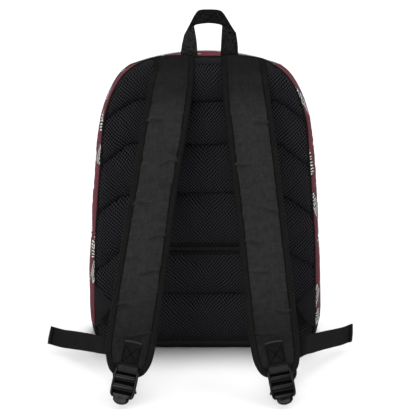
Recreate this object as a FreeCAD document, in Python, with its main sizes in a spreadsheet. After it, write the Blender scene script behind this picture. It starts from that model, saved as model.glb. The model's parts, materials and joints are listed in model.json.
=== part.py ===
import FreeCAD, Part
import math
import os
import Sketcher

# Travel backpack, standing on its base.
# Frame: millimetres, origin at the centre of the flat base, +Z up,
# -Y is the wearer's side (back panel and shoulder straps), +Y the front panel.
# "left" is -X and "right" is +X, as seen from the -Y side.

V = FreeCAD.Vector
doc = FreeCAD.newDocument("TravelBackpack")
sheet = doc.addObject("Spreadsheet::Sheet", "Dimensions")

DIMENSIONS = [
    # shell
    ("BackPlane", -58.0), ("PadThick", 4.0), ("FoamThick", 7.8), ("ShellThick", 2.0),
    ("BindWidth", 3.0), ("ZipBackEdge", -8.0), ("ZipFrontEdge", 16.0), ("ZipEndHeight", 150.0),
    ("BaseBandHeight", 26.0), ("FrontDepth", 56.0), ("FrontSlope", 0.063),
    ("FrontPanelThick", 2.5), ("CrownRadius", 290.0), ("CrownTop", 407.0), ("CrownAngle", 21.0),
    ("SideHalfWidth", 159.6),
    # back pocket zip
    ("BackZipHeight", 144.5), ("BackZipTape", 10.4), ("BackZipLeft", -115.0),
    ("BackZipLength", 223.0), ("TapeThick", 0.9), ("CoilWidth", 4.6), ("CoilHeight", 1.5),
    # front pocket
    ("PocketThick", 6.0), ("PocketHalf", 118.0), ("PocketBottom", 18.0), ("PocketTop", 228.0),
    ("FrontZipHeight", 240.0), ("FrontZipTape", 22.0), ("FrontZipLength", 208.0),
    # base foam
    ("BaseFoamLength", 240.0), ("BaseFoamDepth", 88.0), ("BaseFoamThick", 4.0),
    # haul loop
    ("LoopPivotY", -57.0), ("LoopPivotZ", 411.6), ("LoopThick", 2.6),
    # shoulder straps
    ("StrapLean", 26.5), ("StrapPivotY", -68.2), ("StrapPivotZ", 397.0), ("StrapHalf", 5.0),
    ("FaceThick", 1.2), ("MeshThick", 1.8), ("BindEdge", 2.6), ("BindCover", 8.5),
    ("BindThick", 0.9),
    # webbing and ladder locks
    ("WebWidth", 24.0), ("WebThick", 1.4), ("LockPivot", 399.9), ("LockRise", 9.8),
    ("LockWidth", 30.2), ("LockInner", 24.6), ("LockLength", 33.0), ("LockThick", 4.0),
    ("LockBar", 2.2), ("LockTop", 2.2), ("LockRail", 2.8), ("LockSlotA", 8.6),
    ("LockBarAEnd", 13.8), ("LockSlotBEnd", 19.5), ("LockBarBEnd", 24.7),
    ("LockSlotCEnd", 28.8), ("CrossBar", 2.6), ("TongueHalf", 10.8), ("TongueEnd", 41.4),
    ("TongueThick", 2.4), ("LockTiltLeft", 12.0), ("LockTiltRight", -11.0),
    # zip sliders and pulls
    ("SliderLength", 10.6), ("SliderHalf", 4.3), ("SliderFloor", 0.25), ("ChannelHalf", 2.9),
    ("ChannelTop", 2.0), ("SliderTop", 4.4), ("LugInner", 1.5), ("LugOuter", 2.5),
    ("LugTop", 7.8), ("LugStart", 2.0), ("LugLength", 3.0), ("PinX", 3.5), ("PinZ", 6.6),
    ("PinRadius", 0.8), ("EyeRadius", 2.1), ("EyeHole", 0.86), ("EyeWidth", 2.6),
    ("PullStart", 6.0), ("PullLength", 25.0), ("PullWidth", 7.2), ("PullThick", 1.4),
    ("PullHole", 1.7), ("SliderParkLeft", -27.4), ("SliderParkRight", -15.9),
    ("PullDroop", 20.0), ("TailReachLeft", 215.0), ("TailReachRight", 203.5),
]
DIMENSIONS.remove(("LockRail", 2.8))
for row, (alias, number) in enumerate(DIMENSIONS, 1):
    sheet.set("A%d" % row, alias)
    sheet.set("B%d" % row, str(number))
    sheet.setAlias("B%d" % row, alias)
doc.recompute()


# ---------------------------------------------------------------- document helpers
def dim(alias):
    return float(sheet.get(alias))


def driven(alias, factor=1.0, plus=0.0):
    """A size bound to the sheet, plus + factor * alias, as (value, expression)."""
    expression = "Dimensions." + alias
    if factor != 1.0:
        expression = "%.1f * %s" % (factor, expression)
    if plus:
        expression = "%.1f + %s" % (plus, expression)
    return plus + factor * dim(alias), expression


def as_pair(size):
    """(value, expression) of a driven size or of a plain number."""
    return size if isinstance(size, tuple) else (size, None)


def at(x, y, z):
    return FreeCAD.Placement(V(x, y, z), FreeCAD.Rotation())


def frame(x_axis, y_axis, z_axis, origin):
    """Placement with the given local axes and origin."""
    rows = [(x_axis[i], y_axis[i], z_axis[i], origin[i]) for i in range(3)]
    return FreeCAD.Placement(FreeCAD.Matrix(*rows[0], *rows[1], *rows[2], 0, 0, 0, 1))


pieces = []


def feature(name, shape, placement=None):
    piece = doc.addObject("Part::Feature", name)
    piece.Label = name
    piece.Shape = shape
    piece.Placement = placement or FreeCAD.Placement()
    pieces.append(piece)


def driven_box(name, length, width, height, placement):
    piece = doc.addObject("Part::Box", name)
    piece.Label = name
    for side, (value, expression) in (("Length", length), ("Width", width), ("Height", height)):
        setattr(piece, side, value)
        piece.setExpression(side, expression)
    piece.Placement = placement
    pieces.append(piece)


# ---------------------------------------------------------------- outlines
def smooth(points, steps=6):
    """Catmull-Rom points through a list of pairs, with steps points to each span."""
    result = []
    last = len(points) - 1
    for i in range(last):
        start, end = points[i], points[i + 1]
        before = points[i - 1] if i > 0 else [2 * start[j] - end[j] for j in (0, 1)]
        after = points[i + 2] if i + 2 <= last else [2 * end[j] - start[j] for j in (0, 1)]
        for k in range(steps):
            u = k / steps
            result.append(tuple(
                0.5 * (2 * start[j] + (end[j] - before[j]) * u
                       + (2 * before[j] - 5 * start[j] + 4 * end[j] - after[j]) * u * u
                       + (3 * start[j] - before[j] - 3 * end[j] + after[j]) * u ** 3)
                for j in (0, 1)))
    result.append(points[-1])
    return result


def resample(points, count):
    """The given number of points, evenly spaced along a polyline."""
    travelled = [0.0]
    for a, b in zip(points, points[1:]):
        travelled.append(travelled[-1] + math.hypot(b[0] - a[0], b[1] - a[1]))
    result = []
    j = 0
    for i in range(count):
        distance = travelled[-1] * i / (count - 1)
        while j < len(travelled) - 2 and travelled[j + 1] < distance:
            j += 1
        span = travelled[j + 1] - travelled[j]
        u = (distance - travelled[j]) / span if span > 0 else 0.0
        a, b = points[j], points[j + 1]
        result.append((a[0] + (b[0] - a[0]) * u, a[1] + (b[1] - a[1]) * u))
    return result


def direction(start, end):
    """Unit direction between two pairs."""
    length = math.hypot(end[0] - start[0], end[1] - start[1])
    return (end[0] - start[0]) / length, (end[1] - start[1]) / length


def tangent(points, i):
    """Direction of a polyline at point i, taken between its neighbours."""
    return direction(points[max(0, i - 1)], points[min(len(points) - 1, i + 1)])


def mirror_half(half, count=83):
    """Right half, base to crown, made into one open curve that runs right to left."""
    right = resample(half, count)
    return right + [(-x, z) for x, z in reversed(right[:-1])]


def inset(curve, distance):
    """Moves an open curve that closes along its base inwards."""
    result = []
    for i, (x, z) in enumerate(curve):
        if i in (0, len(curve) - 1):
            normal_x, normal_z = 0.0, -1.0
        else:
            along_x, along_z = tangent(curve, i)
            normal_x, normal_z = along_z, -along_x
        result.append((x - normal_x * distance, z - normal_z * distance))
    return result


# ---------------------------------------------------------------- solids
def spline_wire(points):
    """Curve through the points, closed by a straight line."""
    curve = Part.BSplineCurve()
    curve.interpolate(points)
    return Part.Wire([curve.toShape(), Part.LineSegment(points[-1], points[0]).toShape()])


def outline_wire(curve, y, slope=0.0):
    """Wire of an X, Z outline on the plane Y = y - slope * Z."""
    return spline_wire([V(x, y - slope * z, z) for x, z in curve])


def slab(curve, y0, y1):
    return Part.Face(outline_wire(curve, y0)).extrude(V(0, y1 - y0, 0))


def box(x0, x1, y0, y1, z0, z1):
    return Part.makeBox(x1 - x0, y1 - y0, z1 - z0, V(x0, y0, z0))


def layer(z0, z1):
    """Box wider and deeper than the pack, between two heights."""
    return box(-200, 200, -100, 100, z0, z1)


def prism(points, y0, y1):
    """Polygon in X and Z, pulled from y0 to y1."""
    corners = [V(x, y0, z) for x, z in points]
    return Part.Face(Part.makePolygon(corners + [corners[0]])).extrude(V(0, y1 - y0, 0))


def one(shape):
    """The single solid of a boolean result."""
    clean = shape.removeSplitter()
    return clean.Solids[0] if len(clean.Solids) == 1 else clean


# ---------------------------------------------------------------- gusset
wall = dim("ShellThick")
back_y = dim("BackPlane")
zip_back_y, zip_front_y = dim("ZipBackEdge"), dim("ZipFrontEdge")
zip_end_z = dim("ZipEndHeight")
front_y, front_slope = dim("FrontDepth"), dim("FrontSlope")
front_panel_thick = dim("FrontPanelThick")
crown_radius, crown_angle = dim("CrownRadius"), math.radians(dim("CrownAngle"))
crown_z = dim("CrownTop") - crown_radius


def crown_point(angle):
    return crown_radius * math.sin(angle), crown_z + crown_radius * math.cos(angle)


# Right halves of the outlines, base to crown: (x, z)
BACK_HALF = [
    (100, 0), (116, 0), (128, 0.1), (141, 1.7), (149, 7), (153, 18), (154, 40), (153, 100),
    (151, 157), (146.6, 213), (141.4, 269), (137.7, 313), (133, 335), (125.3, 357),
    (114.5, 377), (105, 388.3), (92, 398.5), (77, 405.5), (60, 408.8), (38, 410), (0, 410),
]
# widest line of the gusset: rounded foot, tapering side and shoulder, up to the crown arc
crown_end = crown_point(crown_angle)
WIDE_HALF = [
    (104, 0), (120, 0), (132, 0.1), (147, 1.8), (157, 8), (162, 20), (163.6, 45),
    (163.4, 80), (162.2, 112), (dim("SideHalfWidth"), zip_end_z), (156.6, 198.7),
    (151.6, 256.3), (149.0, 285), (144.8, 313), (141.0, 328), (136.2, 342), (130.4, 355),
    (122.6, 369), (114.0, 379.8), crown_end,
]
FRONT_HALF = [
    (94, 0), (110, 0), (122, 0.1), (135, 1.7), (144, 8), (149, 20), (151, 45), (151, 95),
    (149, 150), (144.5, 213), (138.5, 269), (132, 315), (126, 337), (116, 357), (103, 373),
    (88, 384.5), (70, 392.5), (45, 397.5), (0, 399),
]
wide_half = smooth(WIDE_HALF)[:-1] + [crown_point(crown_angle * (1 - i / 20)) for i in range(21)]
back_outline = mirror_half(smooth(BACK_HALF))
wide_outline = mirror_half(wide_half)
front_outline = mirror_half(smooth(FRONT_HALF))


def lofted_ring(curve0, y0, curve1, y1, slope=0.0):
    """Wall lofted between two outlines; the second may lie on a sloped plane."""
    outer, inner = [
        Part.makeLoft([outline_wire(a, y0), outline_wire(b, y1, slope)], True, True)
        for a, b in ((curve0, curve1), (inset(curve0, wall), inset(curve1, wall)))]
    return outer.cut(inner)


ring_back = lofted_ring(back_outline, back_y, wide_outline, zip_back_y)
ring_middle = slab(wide_outline, zip_back_y, zip_front_y).cut(
    slab(inset(wide_outline, wall), zip_back_y, zip_front_y))
# the front ring stops at the inner face of the leaning front panel
panel_inner_y = front_y - front_panel_thick * math.sqrt(1 + front_slope ** 2)
ring_front = lofted_ring(wide_outline, zip_front_y, front_outline, panel_inner_y, front_slope)


def joined(region):
    """The part of all three rings inside a region."""
    back, middle, front = [ring.common(region) for ring in (ring_back, ring_middle, ring_front)]
    return one(back.fuse([middle, front]))


base_band_z = dim("BaseBandHeight")
feature("gusset_top_rear", one(ring_back.common(layer(zip_end_z, 500))))
feature("gusset_top_front", one(ring_front.common(layer(zip_end_z, 500))))
gusset_side = joined(box(0.01, 200, -100, 100, base_band_z, zip_end_z))
feature("gusset_side_right", gusset_side)
feature("gusset_side_left", gusset_side.mirror(V(0, 0, 0), V(1, 0, 0)))
feature("gusset_bottom", joined(layer(0, base_band_z)))


# ---------------------------------------------------------------- main zip
def flip(point):
    return V(-point.x, point.y, point.z)


def zip_path(offset):
    """Zip line moved outwards: its curves, right end over the crown to left, and both ends."""
    half = [p for p in wide_half if p[1] >= zip_end_z - 1e-6 and p[0] >= crown_end[0] - 1e-6]
    right = []
    for i, (x, z) in enumerate(half):
        along_x, along_z = tangent(half, i)
        normal_x, normal_z = along_z, -along_x
        if i == len(half) - 1:
            normal_x, normal_z = math.sin(crown_angle), math.cos(crown_angle)
        # both ends are cut level at the zip's end height
        moved_z = zip_end_z if i == 0 else z + normal_z * offset
        right.append(V(x + normal_x * offset, 0, moved_z))
    spans = list(zip(right, right[1:]))
    crown = Part.Arc(right[-1], V(0, 0, crown_z + crown_radius + offset), flip(right[-1]))
    curves = [Part.LineSegment(a, b) for a, b in spans] + [crown]
    curves += [Part.LineSegment(flip(b), flip(a)) for a, b in reversed(spans)]
    return curves, right[0], flip(right[0])


def zip_arch(offset0, offset1, y0, y1):
    """Band between two offsets of the zip line, pulled from y0 to y1."""
    path0, right0, left0 = zip_path(offset0)
    path1, right1, left1 = zip_path(offset1)
    curves = path0 + [Part.LineSegment(left0, left1)] + path1 + [Part.LineSegment(right1, right0)]
    outline = Part.Wire(Part.__sortEdges__([curve.toShape() for curve in curves]))
    outline.translate(V(0, y0, 0))
    return Part.Face(outline).extrude(V(0, y1 - y0, 0))


coil_width, coil_height = dim("CoilWidth"), dim("CoilHeight")
zip_middle_y = (zip_back_y + zip_front_y) / 2
feature("main_zip_tape", zip_arch(-wall, 0.0, zip_back_y, zip_front_y))
feature("main_zip_coil", zip_arch(0.0, coil_height, zip_middle_y - coil_width / 2,
                                  zip_middle_y + coil_width / 2))

# ---------------------------------------------------------------- back panel stack
bind_width = dim("BindWidth")
pad_y = back_y - dim("PadThick")
back_zip_z, back_zip_half = dim("BackZipHeight"), dim("BackZipTape") / 2
back_zip_left = dim("BackZipLeft")
back_zip_right = back_zip_left + dim("BackZipLength")
REINFORCEMENT_Z = 399.6
BOTTOM_BAND_Z = 9.0
PANEL_GAP = 0.2
CHANNEL_WIDTH = 1.8

binding = slab(back_outline, pad_y - 0.6, back_y)
binding = binding.cut(slab(inset(back_outline, bind_width), back_y - 9, back_y + 1))
feature("back_seam_binding", one(binding.common(layer(0, 500))))
padding = slab(inset(back_outline, bind_width + 0.1), pad_y, back_y)
feature("top_reinforcement", one(padding.common(layer(REINFORCEMENT_Z + PANEL_GAP, 500))))
feature("back_bottom_band", one(padding.common(layer(-5, BOTTOM_BAND_Z))))


def stitch_channel(half):
    """Symmetric groove cutter, given the right half of its centre line from X = 0."""
    points = smooth([(-x, z) for x, z in reversed(half)] + half[1:], 5)
    upper, lower = [], []
    for i, (x, z) in enumerate(points):
        along_x, along_z = tangent(points, i)
        step_x, step_z = -along_z * CHANNEL_WIDTH / 2, along_x * CHANNEL_WIDTH / 2
        upper.append((x + step_x, z + step_z))
        lower.append((x - step_x, z - step_z))
    return prism(upper + lower[::-1], pad_y - 1.0, pad_y + 1.6)


def mesh_zone(far_z, seam_rise, zip_edge_z):
    """Zone from far_z to the pocket zip and to the seam running on from both its ends."""
    points = [(-260, far_z), (260, far_z)]
    points += [(x, z + seam_rise) for x, z in ((260, 90), (160, 111), (125, 133), (112, 141))]
    points += [(back_zip_right + 3, zip_edge_z), (back_zip_left - 3, zip_edge_z)]
    points += [(x, z + seam_rise) for x, z in ((-125, 133), (-160, 111), (-260, 90))]
    return prism(points, pad_y - 1, back_y + 1)


# Centre lines of the stitch channels, right half: (x, z)
UPPER_CHANNELS = [
    [(0, 349), (80, 351), (105, 343), (142, 319)],
    [(0, 290), (91, 292.5), (115, 281), (148, 257)],
    [(0, 223), (102, 219), (125, 209), (156, 190)],
]
LOWER_CHANNEL = [(0, 79), (50, 79), (90, 74), (126, 62)]

mesh = padding.common(mesh_zone(500, 2, back_zip_z + back_zip_half + PANEL_GAP))
mesh = mesh.common(layer(100, REINFORCEMENT_Z))
for channel in UPPER_CHANNELS:
    mesh = mesh.cut(stitch_channel(channel))
feature("back_mesh_upper", one(mesh))
mesh = padding.common(mesh_zone(-20, 0, back_zip_z - back_zip_half - PANEL_GAP))
mesh = mesh.common(layer(BOTTOM_BAND_Z + PANEL_GAP, 200))
feature("back_mesh_lower", one(mesh.cut(stitch_channel(LOWER_CHANNEL))))

foam_y = back_y + dim("FoamThick")
feature("back_foam", slab(inset(back_outline, wall + 1.6), back_y, foam_y))
feature("back_pocket_liner", box(-112, 106, foam_y + 0.1, foam_y + 1.1, 30, 140))
feature("back_panel", slab(inset(back_outline, wall + 2.4), foam_y + 1.2, foam_y + 2.6))

COIL_MARGIN = 3.0  # from each end of a pocket zip's tape to its coil
back_tape_y = pad_y + 0.5
driven_box("back_zip_tape", driven("BackZipLength"), driven("TapeThick"), driven("BackZipTape"),
           at(back_zip_left, back_tape_y, back_zip_z - back_zip_half))
driven_box("back_zip_coil", driven("BackZipLength", plus=-2 * COIL_MARGIN),
           driven("CoilHeight"), driven("CoilWidth"),
           at(back_zip_left + COIL_MARGIN, back_tape_y - coil_height,
              back_zip_z - coil_width / 2))
driven_box("base_foam", driven("BaseFoamLength"), driven("BaseFoamDepth"),
           driven("BaseFoamThick"),
           at(-dim("BaseFoamLength") / 2, -dim("BaseFoamDepth") / 2, wall + 0.2))

# ---------------------------------------------------------------- front, built flat, then leaned
# Local frame: X towards -X, Y up the panel, Z outwards.
front_lean = math.atan(front_slope)
lean_cos, lean_sin = math.cos(front_lean), math.sin(front_lean)
front_place = frame(V(-1, 0, 0), V(0, -lean_sin, lean_cos), V(0, lean_cos, lean_sin),
                    V(0, front_y, 0))


def flat_slab(curve, z0, z1):
    outline = spline_wire([V(-x, z / lean_cos, z0) for x, z in curve])
    return Part.Face(outline).extrude(V(0, 0, z1 - z0))


front_region = Part.makeBox(400, 500, 40, V(-200, 0.2, -20))
front_panel = flat_slab(front_outline, -front_panel_thick, 0)
feature("front_panel", one(front_panel.common(front_region)), front_place)
binding = flat_slab(front_outline, 0, 1.6).cut(
    flat_slab(inset(front_outline, bind_width), -1, 3))
feature("front_seam_binding", one(binding.common(front_region)), front_place)


def pocket_panel():
    half, bottom, thick = dim("PocketHalf"), dim("PocketBottom"), dim("PocketThick")
    panel = Part.makeBox(2 * half, dim("PocketTop") - bottom, thick, V(-half, bottom, 0))
    corners = [e for e in panel.Edges
               if abs(e.Vertexes[0].X - e.Vertexes[-1].X) < 1e-6
               and abs(e.Vertexes[0].Y - e.Vertexes[-1].Y) < 1e-6]
    panel = panel.makeFillet(26, corners)
    rim = [e for e in panel.Edges if all(abs(v.Z - thick) < 1e-6 for v in e.Vertexes)]
    return panel.makeFillet(3.5, rim)


feature("front_pocket_panel", pocket_panel(), front_place)

front_zip_y, front_zip_length = dim("FrontZipHeight"), dim("FrontZipLength")
tape_thick = dim("TapeThick")
driven_box("front_zip_tape", driven("FrontZipLength"), driven("FrontZipTape"),
           driven("TapeThick"),
           front_place.multiply(at(-front_zip_length / 2,
                                   front_zip_y - dim("FrontZipTape") / 2, 0)))
driven_box("front_zip_coil", driven("FrontZipLength", plus=-2 * COIL_MARGIN),
           driven("CoilWidth"), driven("CoilHeight"),
           front_place.multiply(at(-front_zip_length / 2 + COIL_MARGIN,
                                   front_zip_y - coil_width / 2, tape_thick)))

# ---------------------------------------------------------------- haul loop
loop_y, loop_z, loop_half = dim("LoopPivotY"), dim("LoopPivotZ"), dim("LoopThick") / 2
# Outer edge from -X to +X, then the inner edge back: (x, z)
LOOP_OUTER = [
    (-32, loop_z), (-30.5, 424), (-27.5, 437), (-13.5, 463.5), (-7, 470.4), (17.5, 470.8),
    (24, 466.5), (41, 440), (43.2, 426), (44, loop_z),
]
LOOP_INNER = [
    (20.5, loop_z), (21.5, 430), (22.6, 449.4), (14, 451.6), (4, 452.4), (-6, 451.6),
    (-14.2, 449.4), (-11, 430), (-9.5, loop_z),
]
haul_loop = prism(LOOP_OUTER + LOOP_INNER, loop_y - loop_half, loop_y + loop_half)
for start, end in ((LOOP_OUTER[0], LOOP_INNER[-1]), (LOOP_INNER[0], LOOP_OUTER[-1])):
    # rounded foot of each leg
    haul_loop = haul_loop.fuse(Part.makeCylinder(
        loop_half, end[0] - start[0], V(start[0], loop_y, loop_z), V(1, 0, 0)))
feature("haul_loop", one(haul_loop))

# ---------------------------------------------------------------- shoulder straps
# Local frame: X across, Y back up along the strap, Z away from the pack.
strap_lean = math.radians(dim("StrapLean"))
strap_origin = V(0, dim("StrapPivotY"), dim("StrapPivotZ"))
strap_down = V(0, -math.sin(strap_lean), -math.cos(strap_lean))
strap_normal = V(0, -math.cos(strap_lean), math.sin(strap_lean))
strap_place = frame(V(1, 0, 0), strap_down * -1, strap_normal, strap_origin)
strap_half, bind_thick = dim("StrapHalf"), dim("BindThick")

# Edges of each strap from its top down: (x, distance down the strap)
STRAP_EDGES = {
    "left": (
        [(-68.3, 0), (-73.6, 22), (-77.7, 46.8), (-84.8, 91.7), (-91.0, 135.9),
         (-98.3, 179.9), (-107.0, 236), (-115.0, 290), (-122.4, 344), (-124.8, 370),
         (-123.6, 387), (-118.5, 400), (-108, 407.5)],
        [(-13.8, 0), (-14.6, 22), (-16.9, 46.8), (-23.3, 91.7), (-30.6, 135.9),
         (-36.9, 179.9), (-43.9, 236), (-50.6, 290), (-57.9, 344), (-62.4, 370),
         (-67.5, 391), (-77, 405), (-90, 410)],
    ),
    "right": (
        [(81.7, 0), (84.0, 22), (86.6, 46.8), (92.2, 91.7), (97.0, 135.9),
         (101.6, 179.9), (107.2, 236), (112.4, 290), (117.6, 344), (119.8, 370),
         (119.4, 387), (114.5, 400), (104, 407.5)],
        [(21.4, 0), (21.8, 22), (23.4, 46.8), (28.5, 91.7), (33.4, 135.9),
         (38.2, 179.9), (43.9, 236), (49.0, 290), (54.2, 344), (57.6, 370),
         (62.5, 391), (72, 405), (86, 410)],
    ),
}


def inset_strap(points, distance):
    """Strap outline moved inwards, both ends of its straight top kept on the top line."""
    last = len(points) - 1
    area = sum(a[0] * b[1] - b[0] * a[1] for a, b in zip(points, points[1:] + points[:1]))
    turn = 1.0 if area > 0 else -1.0
    result = []
    for i, point in enumerate(points):
        along_x, along_y = tangent(points, i)
        result.append((point[0] - along_y * turn * distance,
                       point[1] + along_x * turn * distance))
    for i in (0, last):
        result[i] = (result[i][0], points[i][1])
    return result


def strap_slab(points, z0, z1):
    outline = spline_wire([V(x, -down, z0) for x, down in points])
    return Part.Face(outline).extrude(V(0, 0, z1 - z0))


def shoulder_strap(side, outer_edge, inner_edge):
    """Face, foam, mesh and edge binding of one strap; face and foam round over its top."""
    outline = resample(smooth(outer_edge, 4) + smooth(inner_edge, 4)[::-1], 61)
    core = inset_strap(outline, dim("BindEdge"))
    cover = inset_strap(outline, dim("BindCover"))
    x0, x1 = sorted((core[0][0], core[-1][0]))
    foam_top, foam_bottom = strap_half - dim("FaceThick"), -strap_half + dim("MeshThick")
    beyond_top = Part.makeBox(x1 - x0, 2 * strap_half, 2 * strap_half, V(x0, 0, -strap_half))

    def nose(radius):
        return Part.makeCylinder(radius, x1 - x0, V(x0, 0, 0), V(1, 0, 0))

    cap = nose(strap_half).cut(nose(foam_top)).common(beyond_top)
    feature("strap_face_" + side,
            one(strap_slab(core, foam_top, strap_half).fuse(cap)), strap_place)
    foam_nose = nose(foam_top).common(beyond_top)
    feature("strap_foam_" + side,
            one(strap_slab(core, foam_bottom, foam_top).fuse(foam_nose)), strap_place)
    feature("strap_mesh_" + side, strap_slab(core, -strap_half, foam_bottom), strap_place)

    bind_top = strap_half + bind_thick
    rim = strap_slab(outline, -bind_top, bind_top)
    rim = rim.cut(strap_slab(core, -strap_half, strap_half))
    rim = rim.cut(strap_slab(cover, strap_half - 0.01, bind_top + 1))
    rim = rim.cut(strap_slab(cover, -bind_top - 1, -strap_half + 0.01))
    # the binding leaves the top edge open
    rim = rim.cut(Part.makeBox(400, 2, 60, V(-200, -1.0, -30)))
    feature("strap_binding_" + side, one(rim), strap_place)


for side, edges in STRAP_EDGES.items():
    shoulder_strap(side, *edges)

# ---------------------------------------------------------------- webbing at the ladder locks
# Lock frame: origin on the top bar, X along it, Y back up the strap, Z away from the pack.
web_width, web_thick, lock_rise = dim("WebWidth"), dim("WebThick"), dim("LockRise")
LOCK_X = {"left": -96.9, "right": 92.9}


def lock_frame(x, tilt_degrees):
    tilt = math.radians(tilt_degrees)
    bar_axis = V(math.cos(tilt), 0, 0) + strap_down * math.sin(tilt)
    up_axis = (V(-math.sin(tilt), 0, 0) + strap_down * math.cos(tilt)) * -1
    origin = (strap_origin + V(x, 0, 0) + strap_down * dim("LockPivot")
              + strap_normal * lock_rise)
    return frame(bar_axis, up_axis, strap_normal, origin)


lock_place = {side: lock_frame(x, dim("LockTilt" + side.capitalize()))
              for side, x in LOCK_X.items()}


def strap_webbing():
    """Patch on the strap and the turn of webbing round the lock's top bar."""
    inner_radius = dim("LockBar") + 0.05
    outer_radius = inner_radius + web_thick
    patch_z = -lock_rise + strap_half + bind_thick + 0.1
    patch = Part.makeBox(web_width, 33.0, 2 * web_thick, V(-web_width / 2, 3.4, patch_z))
    turn = Part.makeCylinder(outer_radius, web_width, V(-web_width / 2, 0, 0), V(1, 0, 0))
    neck = Part.makeBox(web_width, 6.4, 2 * outer_radius, V(-web_width / 2, 0, -outer_radius))
    bore = Part.makeCylinder(inner_radius, web_width + 2, V(-web_width / 2 - 1, 0, 0),
                             V(1, 0, 0))
    return one(patch.fuse([turn, neck]).cut(bore))


for side, placement in lock_place.items():
    feature("strap_webbing_" + side, strap_webbing(), placement)
    wrap = Part.makeBox(web_width, 18.0, web_thick, V(-web_width / 2, -31.0, -4.2))
    feature("adjuster_wrap_" + side, wrap, placement)


# ---------------------------------------------------------------- free webbing
def webbing(stations):
    """Rectangle lofted along stations of (point, direction of its long side)."""
    points = [V(*point) for point, _ in stations]
    sections = []
    for i, (_, across) in enumerate(stations):
        along = points[min(len(points) - 1, i + 1)] - points[max(0, i - 1)]
        along.normalize()
        wide = V(*across)
        wide = wide - along * wide.dot(along)
        wide.normalize()
        thin = along.cross(wide)
        thin.normalize()
        corners = [points[i] + wide * (a * web_width / 2) + thin * (b * web_thick / 2)
                   for a, b in ((-1, -1), (1, -1), (1, 1), (-1, 1))]
        sections.append(Part.makePolygon(corners + [corners[0]]))
    return Part.makeLoft(sections, True, True)


def twisted_webbing(table, sign):
    """Webbing from rows of (x, y, z, long side's x, long side's z) on the side of sign."""
    return webbing([((sign * x, y, z), (wide_x, 0, sign * wide_z))
                    for x, y, z, wide_x, wide_z in table])


def strand(sign, lock_x):
    return twisted_webbing([
        (lock_x + 5.0, -256.0, 13.0, 1, 0),
        (lock_x + 7.5, -232.0, 11.5, 1, -0.1),
        (109.0, -200.0, 13.0, 0.9, -0.45),
        (113.5, -170.0, 18.0, 0.6, -0.8),
        (117.0, -143.0, 24.0, 0.25, -0.97),
        (119.6, -119.0, 29.5, 0, -1),
    ], sign)


# Free end of the tail at its full reach: (x, y, z)
TAIL_END = [
    (126.0, -214.0, 60.0), (143.0, -188.0, 52.0), (170.0, -146.0, 40.5),
    (195.0, -106.0, 30.0), (215.0, -74.0, 22.5),
]


def tail(sign, lock_x, reach):
    """Free tail; a shorter reach draws its end in towards X = 0 and lifts it."""
    table = [
        (lock_x - 1.0, -232.0, 30.0, 1, 0),
        (lock_x + 4.0, -226.5, 42.0, 1, -0.35),
        (lock_x + 15.0, -222.0, 52.5, 0.6, -0.8),
    ]
    start_x, full_reach = TAIL_END[0][0], TAIL_END[-1][0]
    for x, y, z in TAIL_END:
        out = (x - start_x) / (full_reach - start_x)
        table.append((start_x + out * (reach - start_x), y,
                      z + 0.3 * (full_reach - reach) * out, 0, -1))
    return twisted_webbing(table, sign)


TAB_CORNERS = [(152.5, 92), (152.5, 31), (140, 40), (126, 62)]  # (x, z)
# Stub of webbing from the tab: (x, y, z, long side's x, long side's z)
STUB = [
    (137.0, -63.4, 54.0, 14, -22), (132.5, -66.0, 50.0, 14, -24), (128.5, -78.0, 43.0, 8, -24),
    (125.0, -96.0, 36.5, 3, -24), (122.0, -121.0, 30.0, 0, -24),
]


def side_tab(sign):
    tab = prism([(sign * x, z) for x, z in TAB_CORNERS], -64.2, -62.8)
    stub = webbing([((sign * x, y, z), (sign * wide_x, 0, wide_z))
                    for x, y, z, wide_x, wide_z in STUB])
    return one(tab.fuse(stub))


for side, sign in (("left", -1), ("right", 1)):
    lock_x = abs(LOCK_X[side])
    feature("adjuster_strand_" + side, strand(sign, lock_x))
    feature("adjuster_tail_" + side, tail(sign, lock_x, dim("TailReach" + side.capitalize())))
    feature("side_tab_" + side, side_tab(sign))


# ---------------------------------------------------------------- sketch and body helpers
def new_body(name, placement):
    body = doc.addObject("PartDesign::Body", name)
    body.Label = name
    body.Placement = placement
    pieces.append(body)
    return body


def new_sketch(body, name, role, offset=0.0):
    plane = [f for f in body.Origin.OriginFeatures if f.Role == role][0]
    sketch = body.newObject("Sketcher::SketchObject", name)
    sketch.AttachmentSupport = (plane, [""])
    sketch.MapMode = "FlatFace"
    sketch.AttachmentOffset = at(0, 0, offset)
    return sketch


def constrain(sketch, size, *reference):
    """Adds a dimension and binds it when the size is driven."""
    value, expression = as_pair(size)
    index = sketch.addConstraint(Sketcher.Constraint(*reference, value))
    if expression:
        sketch.setExpression("Constraints[%d]" % index, expression)


def add_rectangle(sketch, left, bottom, right, top):
    """Rectangle by its sides' signed distances, each a number or a driven size."""
    x0, y0, x1, y1 = [as_pair(side)[0] for side in (left, bottom, right, top)]
    corners = [V(x0, y0, 0), V(x1, y0, 0), V(x1, y1, 0), V(x0, y1, 0)]
    first = len(sketch.Geometry)
    sketch.addGeometry([Part.LineSegment(corners[i], corners[(i + 1) % 4])
                        for i in range(4)], False)
    rule = Sketcher.Constraint
    sketch.addConstraint(
        [rule("Coincident", first + i, 2, first + (i + 1) % 4, 1) for i in range(4)]
        + [rule("Horizontal", first), rule("Horizontal", first + 2),
           rule("Vertical", first + 1), rule("Vertical", first + 3)])
    constrain(sketch, left, "DistanceX", -1, 1, first, 1)
    constrain(sketch, bottom, "DistanceY", -1, 1, first, 1)
    constrain(sketch, right, "DistanceX", -1, 1, first + 1, 2)
    constrain(sketch, top, "DistanceY", -1, 1, first + 1, 2)


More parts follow.
